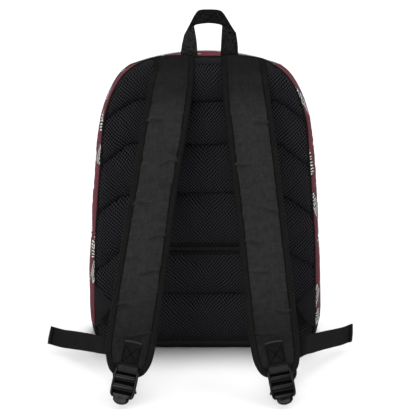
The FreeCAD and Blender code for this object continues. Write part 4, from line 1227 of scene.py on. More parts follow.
def inner_layers():
    back_slab("back_foam_pad", "back_foam", "foam", FOAM,
              near_y=-57.6, far_y=-50.4, wobble=0.6, seed=1)
    back_slab("back_sheet", "back_panel", "liner_fabric", LINER,
              near_y=-48.9, far_y=-47.7, wobble=0.2, seed=4)
    flat_piece("back_pocket_bag", "back_pocket_liner", "liner_fabric", LINER, (-111, 105),
               (30.5, 139.5), y=-49.7, shape=(90, 50), thick=0.6, bulge=0.2)
    x, y = np.meshgrid(np.linspace(-130, 130, 60), np.linspace(-43.5, 43.5, 24), indexing="ij")
    top = 6.0 + 0.15 * layered_noise(points(x, y, 0), 20, 4)
    obj = sheet("base_foam_pad", points(x, y, top), FOAM, back=points(x, y, 2.3), towards=UPWARD)
    attach(obj, "foam", "bag", "base_foam")


# =====================================================================
# Front: panel, puffed pocket and its zip
# =====================================================================
FRONT_LEAN = math.atan(FRONT_SLOPE)
LEAN_COS, LEAN_SIN = math.cos(FRONT_LEAN), math.sin(FRONT_LEAN)
FRONT_OUT = np.array([0, LEAN_COS, LEAN_SIN])
FRONT_UP = np.array([0, -LEAN_SIN, LEAN_COS])
POCKET_LOW, POCKET_HIGH, POCKET_HALF = 18, 228, 117.6


def on_front(x, up, out):
    """Front panel coordinates (across, up the slope, out) to the bag's frame."""
    return points(x, FRONT_Y - LEAN_SIN * up + LEAN_COS * out, LEAN_COS * up + LEAN_SIN * out)


def front_panel():
    across = np.linspace(-1, 1, 150)[:, None]
    z = (1.0 + (398.2 - 1.0) * crowd_top(np.linspace(0, 1, 190), 1.3))[None, :] + 0 * across
    x = across * (half_width(FRONT_SEAM, np.clip(z, 1.0, 398.8)) - 1.0)
    gap, along = rim_distance(x, z, FRONT_SEAM)
    flat = points(x, 0, z)
    full = swell(gap / 45, 2)
    out = -0.6 + 4.6 * full * ease(245, 300, z) + 1.2 * full
    out += 0.9 * full * layered_noise(flat, 60, 31)
    out += 0.9 * full * (ridged_noise(flat, 44, 37, (1.5, 1, 0.7)) - 0.3)
    out += rim_ripple(gap, along, 0.5, 7, 5)
    behind_pocket = (np.abs(x) < 112) & (z < 250)
    out = np.where(behind_pocket, np.minimum(out, 0.2), out)
    held = hold_rim((gap < 4.0) | behind_pocket)
    grid = draped(on_front(x, z / LEAN_COS, out), held, (60, 76), TO_FRONT, grow=0.02, cap=2.2)
    obj = sheet("front_panel_cloth", grid, PRINT, back=on_front(x, z / LEAN_COS, -2.2),
                towards=TO_FRONT)
    attach(obj, "print_fabric", "bag", "front_panel")


def pocket_half_width(up):
    """Half width of the pocket, whose corners have a radius of 26 below and 10 above."""
    width = np.full(up.shape, POCKET_HALF)
    for radius, inside in ((26, up - POCKET_LOW), (10, POCKET_HIGH - up)):
        rest = radius - np.clip(inside, 0, radius)
        corner = POCKET_HALF - radius + np.sqrt(np.maximum(radius * radius - rest ** 2, 0))
        width = np.where(inside < radius, corner, width)
    return width


def front_pocket():
    part = 0.5 - 0.5 * np.cos(np.linspace(0, 1, 130) * PI)
    across = np.sin(np.linspace(-1, 1, 150) * PI / 2)[:, None]
    up = (18.2 + (227.6 - 18.2) * part)[None, :] + 0 * across
    x = across * pocket_half_width(up)
    gap = np.minimum(POCKET_HALF - np.abs(x), np.minimum(up - POCKET_LOW, POCKET_HIGH - up))
    flat = points(x, 0, up)
    full = swell(gap / 30, 2.4)
    out = 0.4 + 6.0 * full + 2.2 * swell(gap / 100, 2)
    out += 1.1 * full * layered_noise(flat, 55, 61)
    out += 1.2 * full * (ridged_noise(flat, 46, 67, (1.3, 1, 0.8)) - 0.2)
    out += 0.6 * np.exp(-gap / 9) * (1 - np.exp(-gap / 2)) * np.sin((x + up) * 2 * PI / 14)
    grid = draped(on_front(x, up, out), hold_rim(gap < 3.0), (80, 66), TO_FRONT, cap=2.6)
    obj = sheet("front_pocket_cloth", grid, PRINT, back=on_front(x, up, 0.05),
                towards=TO_FRONT)
    attach(obj, "print_fabric", "bag", "front_pocket_panel")
    # topstitching inside the rim, as (across, up the slope)
    rim = resample([(-104, 224.5), (-113.6, 218), (-113.6, 46), (-106, 28), (-92, 22.2),
                    (92, 22.2), (106, 28), (113.6, 46), (113.6, 218), (104, 224.5)], 260)
    row = [grid.reshape(-1, 3)[nearest_index(x, up, *place)] for place in rim]
    stitches = stitch_run(row, FRONT_OUT, pitch=3.4, gap=1.0, lift=0.3, seed=19)
    add_stitches("pocket_topstitch", stitches, 0.4)


def front_zip():
    tape_x = np.linspace(-103.5, 103.5, 120)
    x, up = np.meshgrid(tape_x, np.linspace(229.3, 250.7, 12), indexing="ij")
    grid = on_front(x, up, 0.9 + 0.25 * layered_noise(points(x, 0, up), 20, 3))
    tape = sheet("front_zip_tape_cloth", grid, ZIP_TAPE, thick=0.8, towards=TO_FRONT)
    attach(tape, "zip_tape", "bag", "front_zip_tape")
    x = np.linspace(-100.5, 100.5, 60)
    zip_teeth("front_zip_teeth", on_front(x, 240.0, 0.85), FRONT_OUT, FRONT_UP,
              "front_zip_coil")
    stitches = []
    for up in (231.0, 249.0):
        stitches += stitch_run(on_front(x, up, 1.1), FRONT_OUT,
                               pitch=3.0, gap=0.8, lift=0.15, seed=8)
    add_stitches("front_zip_stitch", stitches, 0.27)
    # half-round hood along the tape's upper edge
    angle = np.linspace(0, PI, 10)
    out = 0.6 + 1.9 * np.sin(angle) + 0.2 * np.sin(tape_x / 6)[:, None]
    grid = on_front(np.linspace(-106, 106, 120)[:, None], 251.5 + 2.6 * np.cos(angle), out)
    hood = sheet("front_zip_hood", grid, BINDING, thick=0.4, towards=TO_FRONT, swap=True)
    attach(hood, "binding_tape", "bag")


# =====================================================================
# Shoulder straps. Strap coordinates: x across, s down the strap from the hinge line,
# n out from the pad's middle on the side away from the bag
# =====================================================================
STRAP_LEAN = math.radians(26.5)
DOWN = np.array([0, -math.sin(STRAP_LEAN), -math.cos(STRAP_LEAN)])
OUT = np.array([0, -math.cos(STRAP_LEAN), math.sin(STRAP_LEAN)])
HINGE = np.array([0, -68.2, 397.0])
STRAP_TOP = -13.4       # s of the sewn-in end above the hinge line
BEND_END = 26.0         # s where the pad hangs straight
PAD_HALF_DEPTH = 5.0
LOCK_S = 399.9          # s of the lock's upper bar
WEB_HALF = 12.6         # half width of the webbing patch

# outer and inner: the edges' (x, s), from the hinge line down
SIDES = {
    "left": dict(
        outer=[(-68.3, 0), (-73.6, 22), (-77.7, 46.8), (-84.8, 91.7), (-91.0, 135.9),
               (-98.3, 179.9), (-107.0, 236), (-115.0, 290), (-122.4, 344), (-124.8, 370),
               (-123.6, 387), (-118.5, 400), (-108, 407.5)],
        inner=[(-13.8, 0), (-14.6, 22), (-16.9, 46.8), (-23.3, 91.7), (-30.6, 135.9),
               (-36.9, 179.9), (-43.9, 236), (-50.6, 290), (-57.9, 344), (-62.4, 370),
               (-67.5, 391), (-77, 405), (-90, 410)],
        sign=-1, lock_x=-96.9, lock_tilt=12.0, blend_x=-45.0, face_seed=41, binding_seed=91,
        tail_reach=215.5, tail_twist=0.34),
    "right": dict(
        outer=[(81.7, 0), (84.0, 22), (86.6, 46.8), (92.2, 91.7), (97.0, 135.9),
               (101.6, 179.9), (107.2, 236), (112.4, 290), (117.6, 344), (119.8, 370),
               (119.4, 387), (114.5, 400), (104, 407.5)],
        inner=[(21.4, 0), (21.8, 22), (23.4, 46.8), (28.5, 91.7), (33.4, 135.9),
               (38.2, 179.9), (43.9, 236), (49.0, 290), (54.2, 344), (57.6, 370),
               (62.5, 391), (72, 405), (86, 410)],
        sign=1, lock_x=92.9, lock_tilt=-11.0, blend_x=51.0, face_seed=53, binding_seed=97,
        tail_reach=203.8, tail_twist=0.10),
}
# single creases that run in from one edge: s, width, place across in -1..1
CREASES = ((57, 1.9, 0.5), (118, 1.7, -0.55), (171, 2.0, 0.45), (214, 1.6, -0.5),
           (258, 2.1, -0.35), (301, 1.8, 0.55), (338, 1.7, -0.5))


def on_strap(x, s, n):
    """Strap coordinates to the bag's frame; near the hinge the pad turns onto the panel."""
    x, s, n = (part[..., None] for part in np.broadcast_arrays(x, s, n))
    side = HINGE + x * [1, 0, 0]
    straight = side + s * DOWN + n * OUT
    turn, top_turn = ease(BEND_END, -4.0, s), ease(-1.0, STRAP_TOP - 0.1, s)
    bent = side + s * (DOWN * (1 - turn) - UPWARD * turn)
    bent = bent + n * OUT * (1 - 0.70 * turn - 0.16 * top_turn)
    bent[..., 1] += (turn * 4.0 + top_turn * 0.7)[..., 0]
    # stretched in height so that the end meets the back seam
    bend_z = HINGE[2] - BEND_END * math.cos(STRAP_LEAN)
    top = back_top(np.clip(x[..., 0], -130, 130)) + 1.5
    stretch = (top - bend_z) / (HINGE[2] - STRAP_TOP - bend_z)
    bent[..., 2] = bend_z + (bent[..., 2] - bend_z) * stretch
    return np.where(s < BEND_END, bent, straight)


def end_thinning(s, end):
    """Thickness factor that rounds the strap off over its last 9 mm."""
    return 0.55 + 0.45 * np.sqrt(swell((end - s) / 9.0, 2))


def inset_outline(outline, amount):
    """Moves an open outline inwards by an amount for each point."""
    x, y = outline[:, 0], outline[:, 1]
    area = np.sum(x * np.roll(y, -1) - np.roll(x, -1) * y)
    steps = np.zeros_like(outline)
    steps[1:-1] = outline[2:] - outline[:-2]
    steps[0] = outline[1] - outline[0]
    steps[-1] = outline[-1] - outline[-2]
    steps = unit(steps)
    inward = np.stack([-steps[:, 1], steps[:, 0]], 1) * (1.0 if area > 0 else -1.0)
    return outline + inward * amount[:, None]


class Strap:
    """One strap's sizes, its pad grid, its lock's axes and how it is attached."""

    def __init__(self, side):
        vars(self).update(SIDES[side])    # every entry of SIDES becomes an attribute
        self.side = side
        self.body = "strap_" + side
        self.lock = "ladder_lock_" + side
        # the pad grid: s, place across in -1..1, middle, signed half width and x
        s = np.concatenate([np.linspace(STRAP_TOP, 380, 380), np.linspace(381, 407.2, 36)])
        across = crowd_ends(np.linspace(-1, 1, 70), 1.2)
        self.s, self.across = np.meshgrid(s, across, indexing="ij")
        outer, inner = (np.interp(np.maximum(self.s, 0), edge[:, 1], edge[:, 0])
                        for edge in (spline(self.outer, 10), spline(self.inner, 10)))
        self.middle, self.half = (outer + inner) / 2, (outer - inner) / 2
        self.x = self.pad_x(np.where(self.s > 396, 1.6, 2.2))
        self.thinning = end_thinning(self.s, 407.6)
        self.tilt = math.radians(self.lock_tilt)
        self.lock_across = [math.cos(self.tilt), 0, 0] + DOWN * math.sin(self.tilt)
        self.lock_down = [-math.sin(self.tilt), 0, 0] + DOWN * math.cos(self.tilt)
        self.lock_origin = HINGE + [self.lock_x, 0, 0] + DOWN * LOCK_S + OUT * 9.8

    def pad_x(self, inset):
        return self.middle + self.across * (self.half - np.sign(self.half) * inset)

    def at_lock(self, across, down, out):
        """Lock coordinates to the bag's frame."""
        across, down, out = (part[..., None] for part in np.broadcast_arrays(across, down, out))
        return (self.lock_origin + across * self.lock_across + down * self.lock_down
                + out * OUT)

    def carry(self, obj, slot, *nodes):
        """Bakes a piece's placement into its mesh and hides the CAD nodes it replaces."""
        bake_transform(obj)
        if nodes:
            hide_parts(*nodes)


def face_height(x, s, across, seed):
    """Face cloth over the pad: soft crown, gathers from the binding, slow creases."""
    place = points(x, s, 0)
    gap = (1 - np.abs(across)) * 31.0
    height = PAD_HALF_DEPTH - 1.6 + 3.4 * swell(gap / 20.0, 2.2)
    height = height + 0.55 * layered_noise(place, 34, seed, (1.2, 0.8, 1))
    ridges = np.clip(ridged_noise(place, 46, seed + 4, (2.4, 0.55, 1)), 0, 1)
    height = height + 0.50 * ridges ** 2 * np.clip(gap / 12, 0, 1)
    # short puckers along the binding, stronger towards across = -1
    strength = 0.55 + 0.45 * (1 - ease(-0.2, 0.2, across))
    puckers = np.clip(wander(seed + 21, s / 7.5, np.sign(across) * 7.3, gap / 26.0), -0.2, 1)
    height = height + 1.5 * strength * puckers * np.exp(-((gap - 12.0) / 6.0) ** 2)
    for i, (crease_s, width, centre) in enumerate(CREASES):
        bend = 2.5 * across + 4.0 * wander(seed + 31, across * 1.7, i)
        off = s - (crease_s + seed * 0.37 + bend)
        fold = 2.1 * np.exp(-(off / width) ** 2)
        fold = fold - 1.5 * np.exp(-((off - 2.6 * width / 1.8) / (width * 0.9)) ** 2)
        height = height + np.exp(-((across - centre) / 0.42) ** 2) * fold
    phase = s * 2 * PI / 17.0 + 5 * wander(seed + 9, s / 45) + (across > 0) * 1.3
    waves = 0.14 * np.exp(-(gap - 8.5).clip(0) / 8.0) * np.sin(phase)
    return height + waves * np.clip(gap / 6, 0, 1)


def strap_pad(strap):
    """Face cloth, mesh underside and foam core."""
    x, s, across = strap.x, strap.s, strap.across
    height = face_height(x, s, across, strap.face_seed) * strap.thinning
    grid = on_strap(x, s, height)
    # pressed flat under the webbing patch, wider and lower beneath the lock
    side, drop = x - strap.lock_x, s - LOCK_S
    patch_x = side * math.cos(strap.tilt) + drop * math.sin(strap.tilt)
    patch_down = -side * math.sin(strap.tilt) + drop * math.cos(strap.tilt)
    low = ease(-9.0, -4.0, patch_down)
    patch = (1 - low) * ease(17.0, 12.6, np.abs(patch_x)) * ease(-43.0, -36.0, patch_down)
    patch = (patch + low * ease(26.0, 18.0, np.abs(patch_x))) * (s > 300)
    level = (grid - HINGE) @ OUT
    grid = grid + ((7.35 - 2.6 * low - level) * patch)[..., None] * OUT
    gap = np.abs(strap.half) * (1 - np.abs(across))
    held = (gap < 7.0) | (s < -4) | (s > 396) | (patch > 0.6)
    move = draped(grid, held, (132, 24), OUT, pressure=1.6, grow=0.014, cap=1.6) - grid
    grid = grid + move * (ease(-2.0, 34.0, s) * (1 - patch))[..., None]
    face = sheet("strap_face_cloth_" + strap.side, grid, STRAP_CLOTH,
                 back=on_strap(x, s, 2.6), towards=OUT, swap=True)
    strap.carry(face, "strap_fabric", "strap_face_" + strap.side)

    crown = PAD_HALF_DEPTH - 1.2 + 2.6 * swell((1 - np.abs(across)) * 31 / 16.0, 2.2)
    depth = crown + 0.5 * layered_noise(points(x, s, 0), 30, 77)
    under = sheet("strap_underside_mesh_" + strap.side,
                  on_strap(x, s, -depth * strap.thinning), MESH_UV,
                  back=on_strap(x, s, -2.6), towards=-OUT, swap=True)
    strap.carry(under, "spacer_mesh", "strap_mesh_" + strap.side)

    core_x, core_s = strap.pad_x(3.2), np.minimum(s, 405)
    core = sheet("strap_foam_core_" + strap.side, on_strap(core_x, core_s, 2.5), FOAM,
                 back=on_strap(core_x, core_s, -2.5), towards=OUT)
    strap.carry(core, "foam", "strap_foam_" + strap.side)


def strap_binding(strap):
    """Tape folded over the pad's edge, and the stitch line near its inner edge."""
    outer, inner = spline(strap.outer, 6), spline(strap.inner, 6)
    top_out = [[outer[0, 0] - 1.5 * strap.sign, STRAP_TOP]]
    top_in = [[inner[0, 0] + 1.0 * strap.sign, STRAP_TOP]]
    outline = resample(np.concatenate([top_out, outer, inner[::-1], top_in]), 520)
    along = lengths_along(outline)
    # tape section: inset from the edge, level from -1 to 1, whether it lies on the pad
    cover, roll = 8.6, 2.2
    parts = np.linspace(0, 1, 7)
    section = [(cover * (1 - part) + roll * part, 1, True) for part in parts]
    section += [(roll - roll * math.cos(angle), math.sin(angle), False)
                for angle in np.linspace(PI / 2, -PI / 2, 9)[1:-1]]
    section += [(roll * (1 - part) + cover * part, -1, True) for part in parts]
    seed = strap.binding_seed
    ripple = 0.08 * np.sin(along * 2 * PI / 12.5 + 3 * wander(seed + 2, along / 40))
    columns = []
    for j, (inset, level, on_pad) in enumerate(section):
        wobble = 0.22 * wander(seed, along / 7.0, 0, j * 0.05) + ripple
        if inset > 6:
            stray = 0.30 * wander(seed + 4, along / 26.0, 5)
        else:
            stray = 0.18 * wander(seed + 6, along / 16.0, 9)
        line = inset_outline(outline, inset + stray)
        if on_pad:
            # the tape follows the pad's crown under it
            height = (PAD_HALF_DEPTH - 0.1 + 1.9 * swell(inset / 20.0, 2.2)) * level
            if inset > 7.5:
                height = height * 0.93
            slack = 0.9 if level > 0 else 0.6
            height = height + wobble * slack * np.clip(inset / 5, 0.3, 1)
        else:
            height = (PAD_HALF_DEPTH + 0.7) * 0.92 * level + 0.25 * wobble
        thinning = end_thinning(line[:, 1], 411.0)
        columns.append(on_strap(line[:, 0], line[:, 1], height * thinning))
    grid = np.stack(columns, 1)
    tape = sheet("strap_binding_tape_" + strap.side, grid, BINDING, thick=0.7, towards=OUT,
                 probe=np.s_[:, 1], swap=True)
    strap.carry(tape, "binding_tape", "strap_binding_" + strap.side)
    row = grid[outline[:, 1] > 2, 1]
    stitches = stitch_run(row, OUT, pitch=3.1, gap=0.85, lift=0.22, seed=12)
    strap.carry(rods("strap_stitch_" + strap.side, stitches, 0.46, DARK_THREAD), "binding_tape")


# (down, out) at the lock: flat on the pad with a raised fold above, then round the upper bar
PATCH_PATH = [(-34.5, -2.0), (-36.2, -0.6), (-36.6, 0.9), (-35.4, 2.0), (-33.0, 1.6),
              (-30.5, 0.2), (-27, -0.55), (-20, -0.7), (-12, -0.6), (-7, -0.2), (-4.2, 1.2),
              (-2.2, 2.9), (0.2, 3.35), (2.4, 2.4), (3.4, 0.1), (2.6, -2.1), (0.4, -3.2),
              (-3.0, -3.1), (-8, -2.9)]
# (down, out) at the lock, from below it up behind its bars
WRAP_PATH = [(34.5, -3.8), (30.5, -3.2), (27.6, -1.6), (25.8, -1.4), (22.2, -2.0),
             (18.6, -1.6), (16.4, -0.4), (14.8, -0.9), (10.8, -1.9), (6.5, -2.0),
             (2.5, -4.6), (-1.0, -6.6)]


def webbing_patch(strap):
    """Sewn webbing that holds the lock, its ridge of turned-under end and its stitching."""
    side = strap.side
    path = spline(PATCH_PATH, 4)
    down, out = path[:, :1], path[:, 1:]
    across = np.linspace(-WEB_HALF, WEB_HALF, 16)
    bow = 1.1 * (1 - (across / WEB_HALF) ** 2) * np.exp(-((down + 35.0) / 3.0) ** 2)
    before_turn = np.arange(len(path))[:, None] < len(path) * 0.62
    width = np.where(before_turn, 1.0 - 0.14 * (1 - ease(-9.0, -4.0, down)), 0.95)
    lift = bow * 0.6 + 0.18 * wander(5, across / 5, down / 6)
    lift = lift - 0.15 * (np.abs(across) / WEB_HALF) ** 4
    grid = strap.at_lock(across * width, down - bow * 0.7, out + lift)
    on_pad = np.argmin(np.abs(path[:, 0] + 18) + np.abs(path[:, 1] + 0.7))
    turn = int(np.argmax(path[:, 0] > -5.5))
    look = dict(thick=1.3, flip=faces_away(grid, OUT, on_pad), swap=True)
    # the turn round the upper bar is in a lighter webbing, a painted highlight
    patch = join("strap_web_patch_" + side, [
        sheet("wp_a_" + side, grid[:turn + 1], PATCH_WEB, **look),
        sheet("wp_b_" + side, grid[turn:], LIT_TURN_WEB, **look)])
    attach(patch, "webbing", strap.body, "strap_webbing_" + side)

    across = np.linspace(-10.9, 10.9, 26)
    bow = 1.3 * (1 - (across / 10.9) ** 2)
    ridge = strap.at_lock(across, -35.3 - bow * 0.75, 2.0 + bow * 0.6)[:, None]
    angle = np.linspace(0, 2 * PI, 9)[:, None]
    rough = 0.1 * value_noise(ridge / 3.0, 4)[..., None]
    grid = (ridge + strap.lock_down * (1.05 * np.cos(angle)) + OUT * (0.95 * np.sin(angle))
            + rough * OUT)
    # the ridge is in a light webbing, a painted highlight
    obj = sheet("strap_web_ridge_" + side, grid, LIT_FOLD_WEB, thick=0.3, towards=OUT,
                probe=np.s_[:, 2])
    attach(obj, "webbing", strap.body)

    # box and cross stitching, by corner
    half, top, low = 9.4, -31.2, -9.8
    corners = np.array([(-half, top), (half, top), (half, low), (-half, low)])
    stitches = []
    for start, end, seed in ((0, 1, 3), (1, 2, 3), (2, 3, 3), (3, 0, 3), (0, 2, 4), (1, 3, 4)):
        line = np.linspace(corners[start], corners[end], 14)
        row = strap.at_lock(line[:, 0], line[:, 1], -0.42)
        stitches += stitch_run(row, OUT, pitch=2.7, gap=0.7, lift=0.1, seed=seed)
    add_stitches("strap_box_stitch_" + side, stitches, 0.5, DARK_THREAD, strap.body, sides=6)


def lock_bar(strap, name, half_length, down, out, half_height, half_depth, power=0.62,
             skew=0.0):
    """Crossbar with a rounded section and softened ends."""
    sides = 20
    cosine, sine = squared_circle(np.linspace(0, 2 * PI, sides, endpoint=False), power)
    rise = sine * half_depth
    ring = np.stack([down + cosine * half_height + skew * rise, out + rise], 1)
    centre = ring.mean(0)
    rings = []
    for part, size in ((0, 0.86), (0.03, 0.97), (0.08, 1.0), (0.5, 1.0), (0.92, 1.0),
                       (0.97, 0.97), (1, 0.86)):
        section = centre + (ring - centre) * size
        place = half_length * (2 * part - 1)
        rings.append(strap.at_lock(place, section[:, 0], section[:, 1]))
    faces = tube_faces(len(rings), sides, flip=True)
    return make_object(name + "_" + strap.side, np.concatenate(rings), faces, PLASTIC)


def lock_rail(strap, name, sign):
    """Side rail swept down one side of the lock."""
    width, depth, sides = 3.5, 4.8, 16
    # (across, down, out)
    path = spline(np.array([(12.6, -1.2, 0.2), (13.5, 1.8, 0.3), (13.9, 8, 0.4), (14.0, 17, 0.5),
                            (13.9, 25, 0.3), (13.2, 31.2, 0.0), (10.6, 34.2, -0.2)])
                  * [sign, 1, 1], 5)
    steps = unit(np.gradient(path, axis=0))
    cosine, sine = squared_circle(np.linspace(0, 2 * PI, sides, endpoint=False), 0.6)
    rings = []
    for i, (across, down, out) in enumerate(path):
        taper = 1 - 0.25 * max(0, 1 - min(i, len(path) - 1 - i) / 1.5)
        reach = cosine * width / 2 * taper
        rings.append(strap.at_lock(across - steps[i, 1] * reach, down + steps[i, 0] * reach,
                                   out + sine * depth / 2 * taper))
    return make_object("%s_%s" % (name, strap.side), np.concatenate(rings),
                       tube_faces(len(rings), sides), PLASTIC)


def lock_tongue(strap):
    """Tab below the bars, with shoulders and a rounded, dished end."""
    down, across = np.meshgrid(np.linspace(30.2, 43.2, 30), np.linspace(-1, 1, 24),
                               indexing="ij")
    half = np.interp(down, [33.0, 35.2], [13.6, 10.2])
    rounding = np.clip((down - 35.2) / 8.0, 0, 1)
    half = np.maximum(half * np.sqrt(np.clip(1 - rounding ** 2.3, 0.0, 1)), 0.8)
    edge = np.sqrt(np.clip(1 - np.abs(across) ** 6, 0, 1))
    end = np.sqrt(np.clip(1 - np.clip((down - 41.0) / 2.3, 0, 1) ** 2, 0.04, 1))
    dish = -0.5 * np.exp(-((down - 37.5) / 3.0) ** 2) * (1 - across ** 2)
    top = 0.2 + (1.25 + 0.04 * (down - 30)) * edge * end + dish * 0.6
    x = across * half
    return sheet("tongue_" + strap.side, strap.at_lock(x, down, top), PLASTIC,
                 back=strap.at_lock(x, down, 0.1 - 1.2 * edge * end), towards=OUT)


def ladder_lock(strap):
    flat = dict(half_depth=1.9, power=0.7, skew=-0.35)
    lip = dict(half_depth=0.9, power=0.8)
    parts = [
        lock_rail(strap, "rail_a", -1),
        lock_rail(strap, "rail_b", 1),
        lock_bar(strap, "bar0", 13.4, down=-0.2, out=0.0, half_height=2.3, half_depth=2.1),
        lock_bar(strap, "bar1", 13.4, down=10.6, out=0.9, half_height=3.9, **flat),
        lock_bar(strap, "bar1lip", 12.9, down=7.9, out=2.4, half_height=1.25, **lip),
        lock_bar(strap, "bar2", 13.4, down=22.4, out=0.7, half_height=4.0, **flat),
        lock_bar(strap, "bar2lip", 12.9, down=19.4, out=2.2, half_height=1.2, **lip),
        lock_tongue(strap),
    ]
    lock = join("ladder_lock_moulding_" + strap.side, parts)
    attach(lock, "moulded_plastic", strap.lock, strap.lock)


def lock_webbing(strap):
    """Webbing behind the lock's bars."""
    path = spline(WRAP_PATH, 4)
    down, out = path[:, :1], path[:, 1:]
    across = np.linspace(-12.5, 12.5, 14)
    grid = strap.at_lock(across, down, out + 0.12 * wander(15, across / 5, down / 6))
    # near-black webbing: painted shade in the slots between the bars
    wrap = sheet("adjuster_web_wrap_" + strap.side, grid, WRAP_SHADE_WEB, thick=1.2, towards=OUT,
                 swap=True)
    tuple(strap.at_lock(0, -4, -6) * MM)
    tuple(strap.at_lock(0, 6, -2) * MM)
    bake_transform(wrap)
    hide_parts("adjuster_wrap_" + strap.side)


def web_band(stations, widths, width, ripple, seed, curl=0.0):
    """Webbing through 3D stations with given width directions: grid, normals, tangents."""
    path, widths = spline(stations, 8), spline(widths, 8)
    tangents = unit(np.gradient(path, axis=0))
    widths = unit(widths - tangents * (widths * tangents).sum(1, keepdims=True))
    normals = np.cross(tangents, widths)
    across = np.linspace(-1, 1, 12)[None, :]
    grid = path[:, None, :] + widths[:, None, :] * (across[..., None] * width / 2)
    off = curl * (across ** 2 - 0.4) + ripple * layered_noise(grid, 22, seed)
    return grid + normals[:, None, :] * off[..., None], normals, tangents, lengths_along(path)


def load_strand(strap):
    """Webbing from the side tab to the lock."""
    mirror = [strap.sign, 1, 1]
    lock_x = abs(strap.lock_x)
    stations = [(136.0, -65.6, 53.0), (131.0, -70.5, 47.5), (126.5, -85.0, 40.0),
                (122.5, -106.0, 33.0), (119.0, -128.0, 27.5), (115.5, -155.0, 21.0),
                (110.0, -185.0, 15.5), (lock_x + 7.0, -215.0, 12.0),
                (lock_x + 3.0, -240.0, 11.8), (lock_x + 0.6, -259.0, 12.8)]
    widths = [(14, 0, -22), (14, 0, -23), (9, 0, -24), (3.5, 0, -24), (2, 0, -24),
              (10, 0, -21), (20, 0, -12), (24, 0, -5), (24, 0, -1), (24, 0, 0)]
    grid = web_band(np.array(stations) * mirror, np.array(widths) * mirror, 24.0,
                    ripple=0.5, seed=31)[0]
    obj = sheet("adjuster_web_strand_" + strap.side, grid, TAIL_WEB, thick=1.4, swap=True)
    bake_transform(obj)
    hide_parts("adjuster_strand_" + strap.side)


def web_tail(strap):
    """Loose end of the webbing, its last stretch folded back and stitched."""
    side, twist = strap.side, strap.tail_twist
    lock_x = abs(strap.lock_x)
    stations = [(lock_x - 1.5, -236.0, 30.5), (lock_x + 3.0, -230.0, 42.0),
                (lock_x + 14.0, -223.5, 53.0)]
    # the outer stations are drawn for the longer tail and pulled in for the shorter one
    start, longest = 126.0, 215.5
    for x, y, z in ((126.0, -214.0, 59.5), (143.0, -189.0, 53.5), (160.0, -163.0, 46.5),
                    (178.0, -134.0, 38.0), (196.0, -105.0, 29.5), (215.5, -74.0, 22.6)):
        part = (x - start) / (longest - start)
        stations.append((start + part * (strap.tail_reach - start), y,
                         z + 0.3 * (longest - strap.tail_reach) * part))
    widths = [(1, 0, 0), (1, 0, -0.35), (0.6, 0, -0.8), (0, -0.12, -1), (0.03, -0.15, -1),
              (0.25 * twist, -0.1, -1), (0.5 * twist, 0, -1), (0.8 * twist, 0.05, -1),
              (twist, 0.08, -1)]
    grid, normals, tangents, lengths = web_band(
        np.array(stations) * [strap.sign, 1, 1], np.array(widths) * [1, 1, strap.sign],
        24.6, ripple=0.7, seed=37 + strap.sign, curl=0.5)
    outward = 1.0 if normals[-1] @ TO_WEARER > 0 else -1.0
    normals = normals * outward
    hem_start = lengths[-1] - 13.0
    hem = lengths > hem_start
    angle = np.linspace(-PI / 2, PI / 2, 8)[:, None, None]
    fold = (grid[-1] + normals[-1] * (0.05 + 1.4 * np.sin(angle))
            + tangents[-1] * 1.4 * np.cos(angle))
    tail = join("adjuster_web_tail_" + side, [
        sheet("tail_main_" + side, grid, TAIL_WEB, thick=1.35, flip=outward < 0, swap=True),
        sheet("tail_hem_" + side, grid[hem] + normals[hem][:, None, :] * 1.45, TAIL_WEB,
              thick=1.3, flip=outward < 0, swap=True),
        sheet("tail_fold_" + side, fold, TAIL_WEB, thick=0.5, swap=True)])
    attach(tail, "webbing", strap.body, "adjuster_tail_" + side)
    first = min(int(np.argmax(lengths > hem_start + 2.2)), len(lengths) - 3)
    stitches = []
    for i, seed in ((first, 5), (first + 1, 6)):
        stitches += stitch_run(grid[i] + normals[i] * 1.6, normals[first],
                               pitch=2.6, gap=0.7, lift=0.15, seed=seed)
    add_stitches("tail_stitch_" + side, stitches, 0.32, body=strap.body)


def side_tab(strap):
    """Tapering cloth tab with its wide end in the side seam."""
    inward, up = np.meshgrid(np.linspace(0, 1, 40), np.linspace(0, 1, 30), indexing="ij")
    # (x, z) of the corners: in the seam, then at the narrow end
    seam_high, seam_low, neck_high, neck_low = np.array(
        [(153.0, 92.5), (153.0, 31.0), (126.0, 63.0), (140.0, 41.0)])
    high = seam_high + (neck_high - seam_high) * inward[..., None]
    low = seam_low + (neck_low - seam_low) * inward[..., None]
    place = low + (high - low) * up[..., None]
    grid = points(place[..., 0] * strap.sign, 0.0, place[..., 1])
    grid[..., 1] = (-63.0 - 3.8 * inward ** 1.2 - 1.8 * np.sin(inward * PI) * np.sin(up * PI)
                    - 0.9 * layered_noise(grid, 16, 71 + strap.sign)
                    - 0.5 * np.sin(up * 9 + inward * 4) * inward * (1 - inward) * 2)
    obj = sheet("side_tab_cloth_" + strap.side, grid, PLAIN, thick=1.5, towards=TO_WEARER)
    attach(obj, "plain_fabric", "bag", "side_tab_" + strap.side)
    stitches = []
    for column in (3, 26):
        stitches += stitch_run(grid[2:-1, column] + TO_WEARER * 0.1, TO_WEARER,
                               pitch=3.0, gap=0.8, lift=0.2, seed=9)
    add_stitches("side_tab_stitch_" + strap.side, stitches, 0.28)


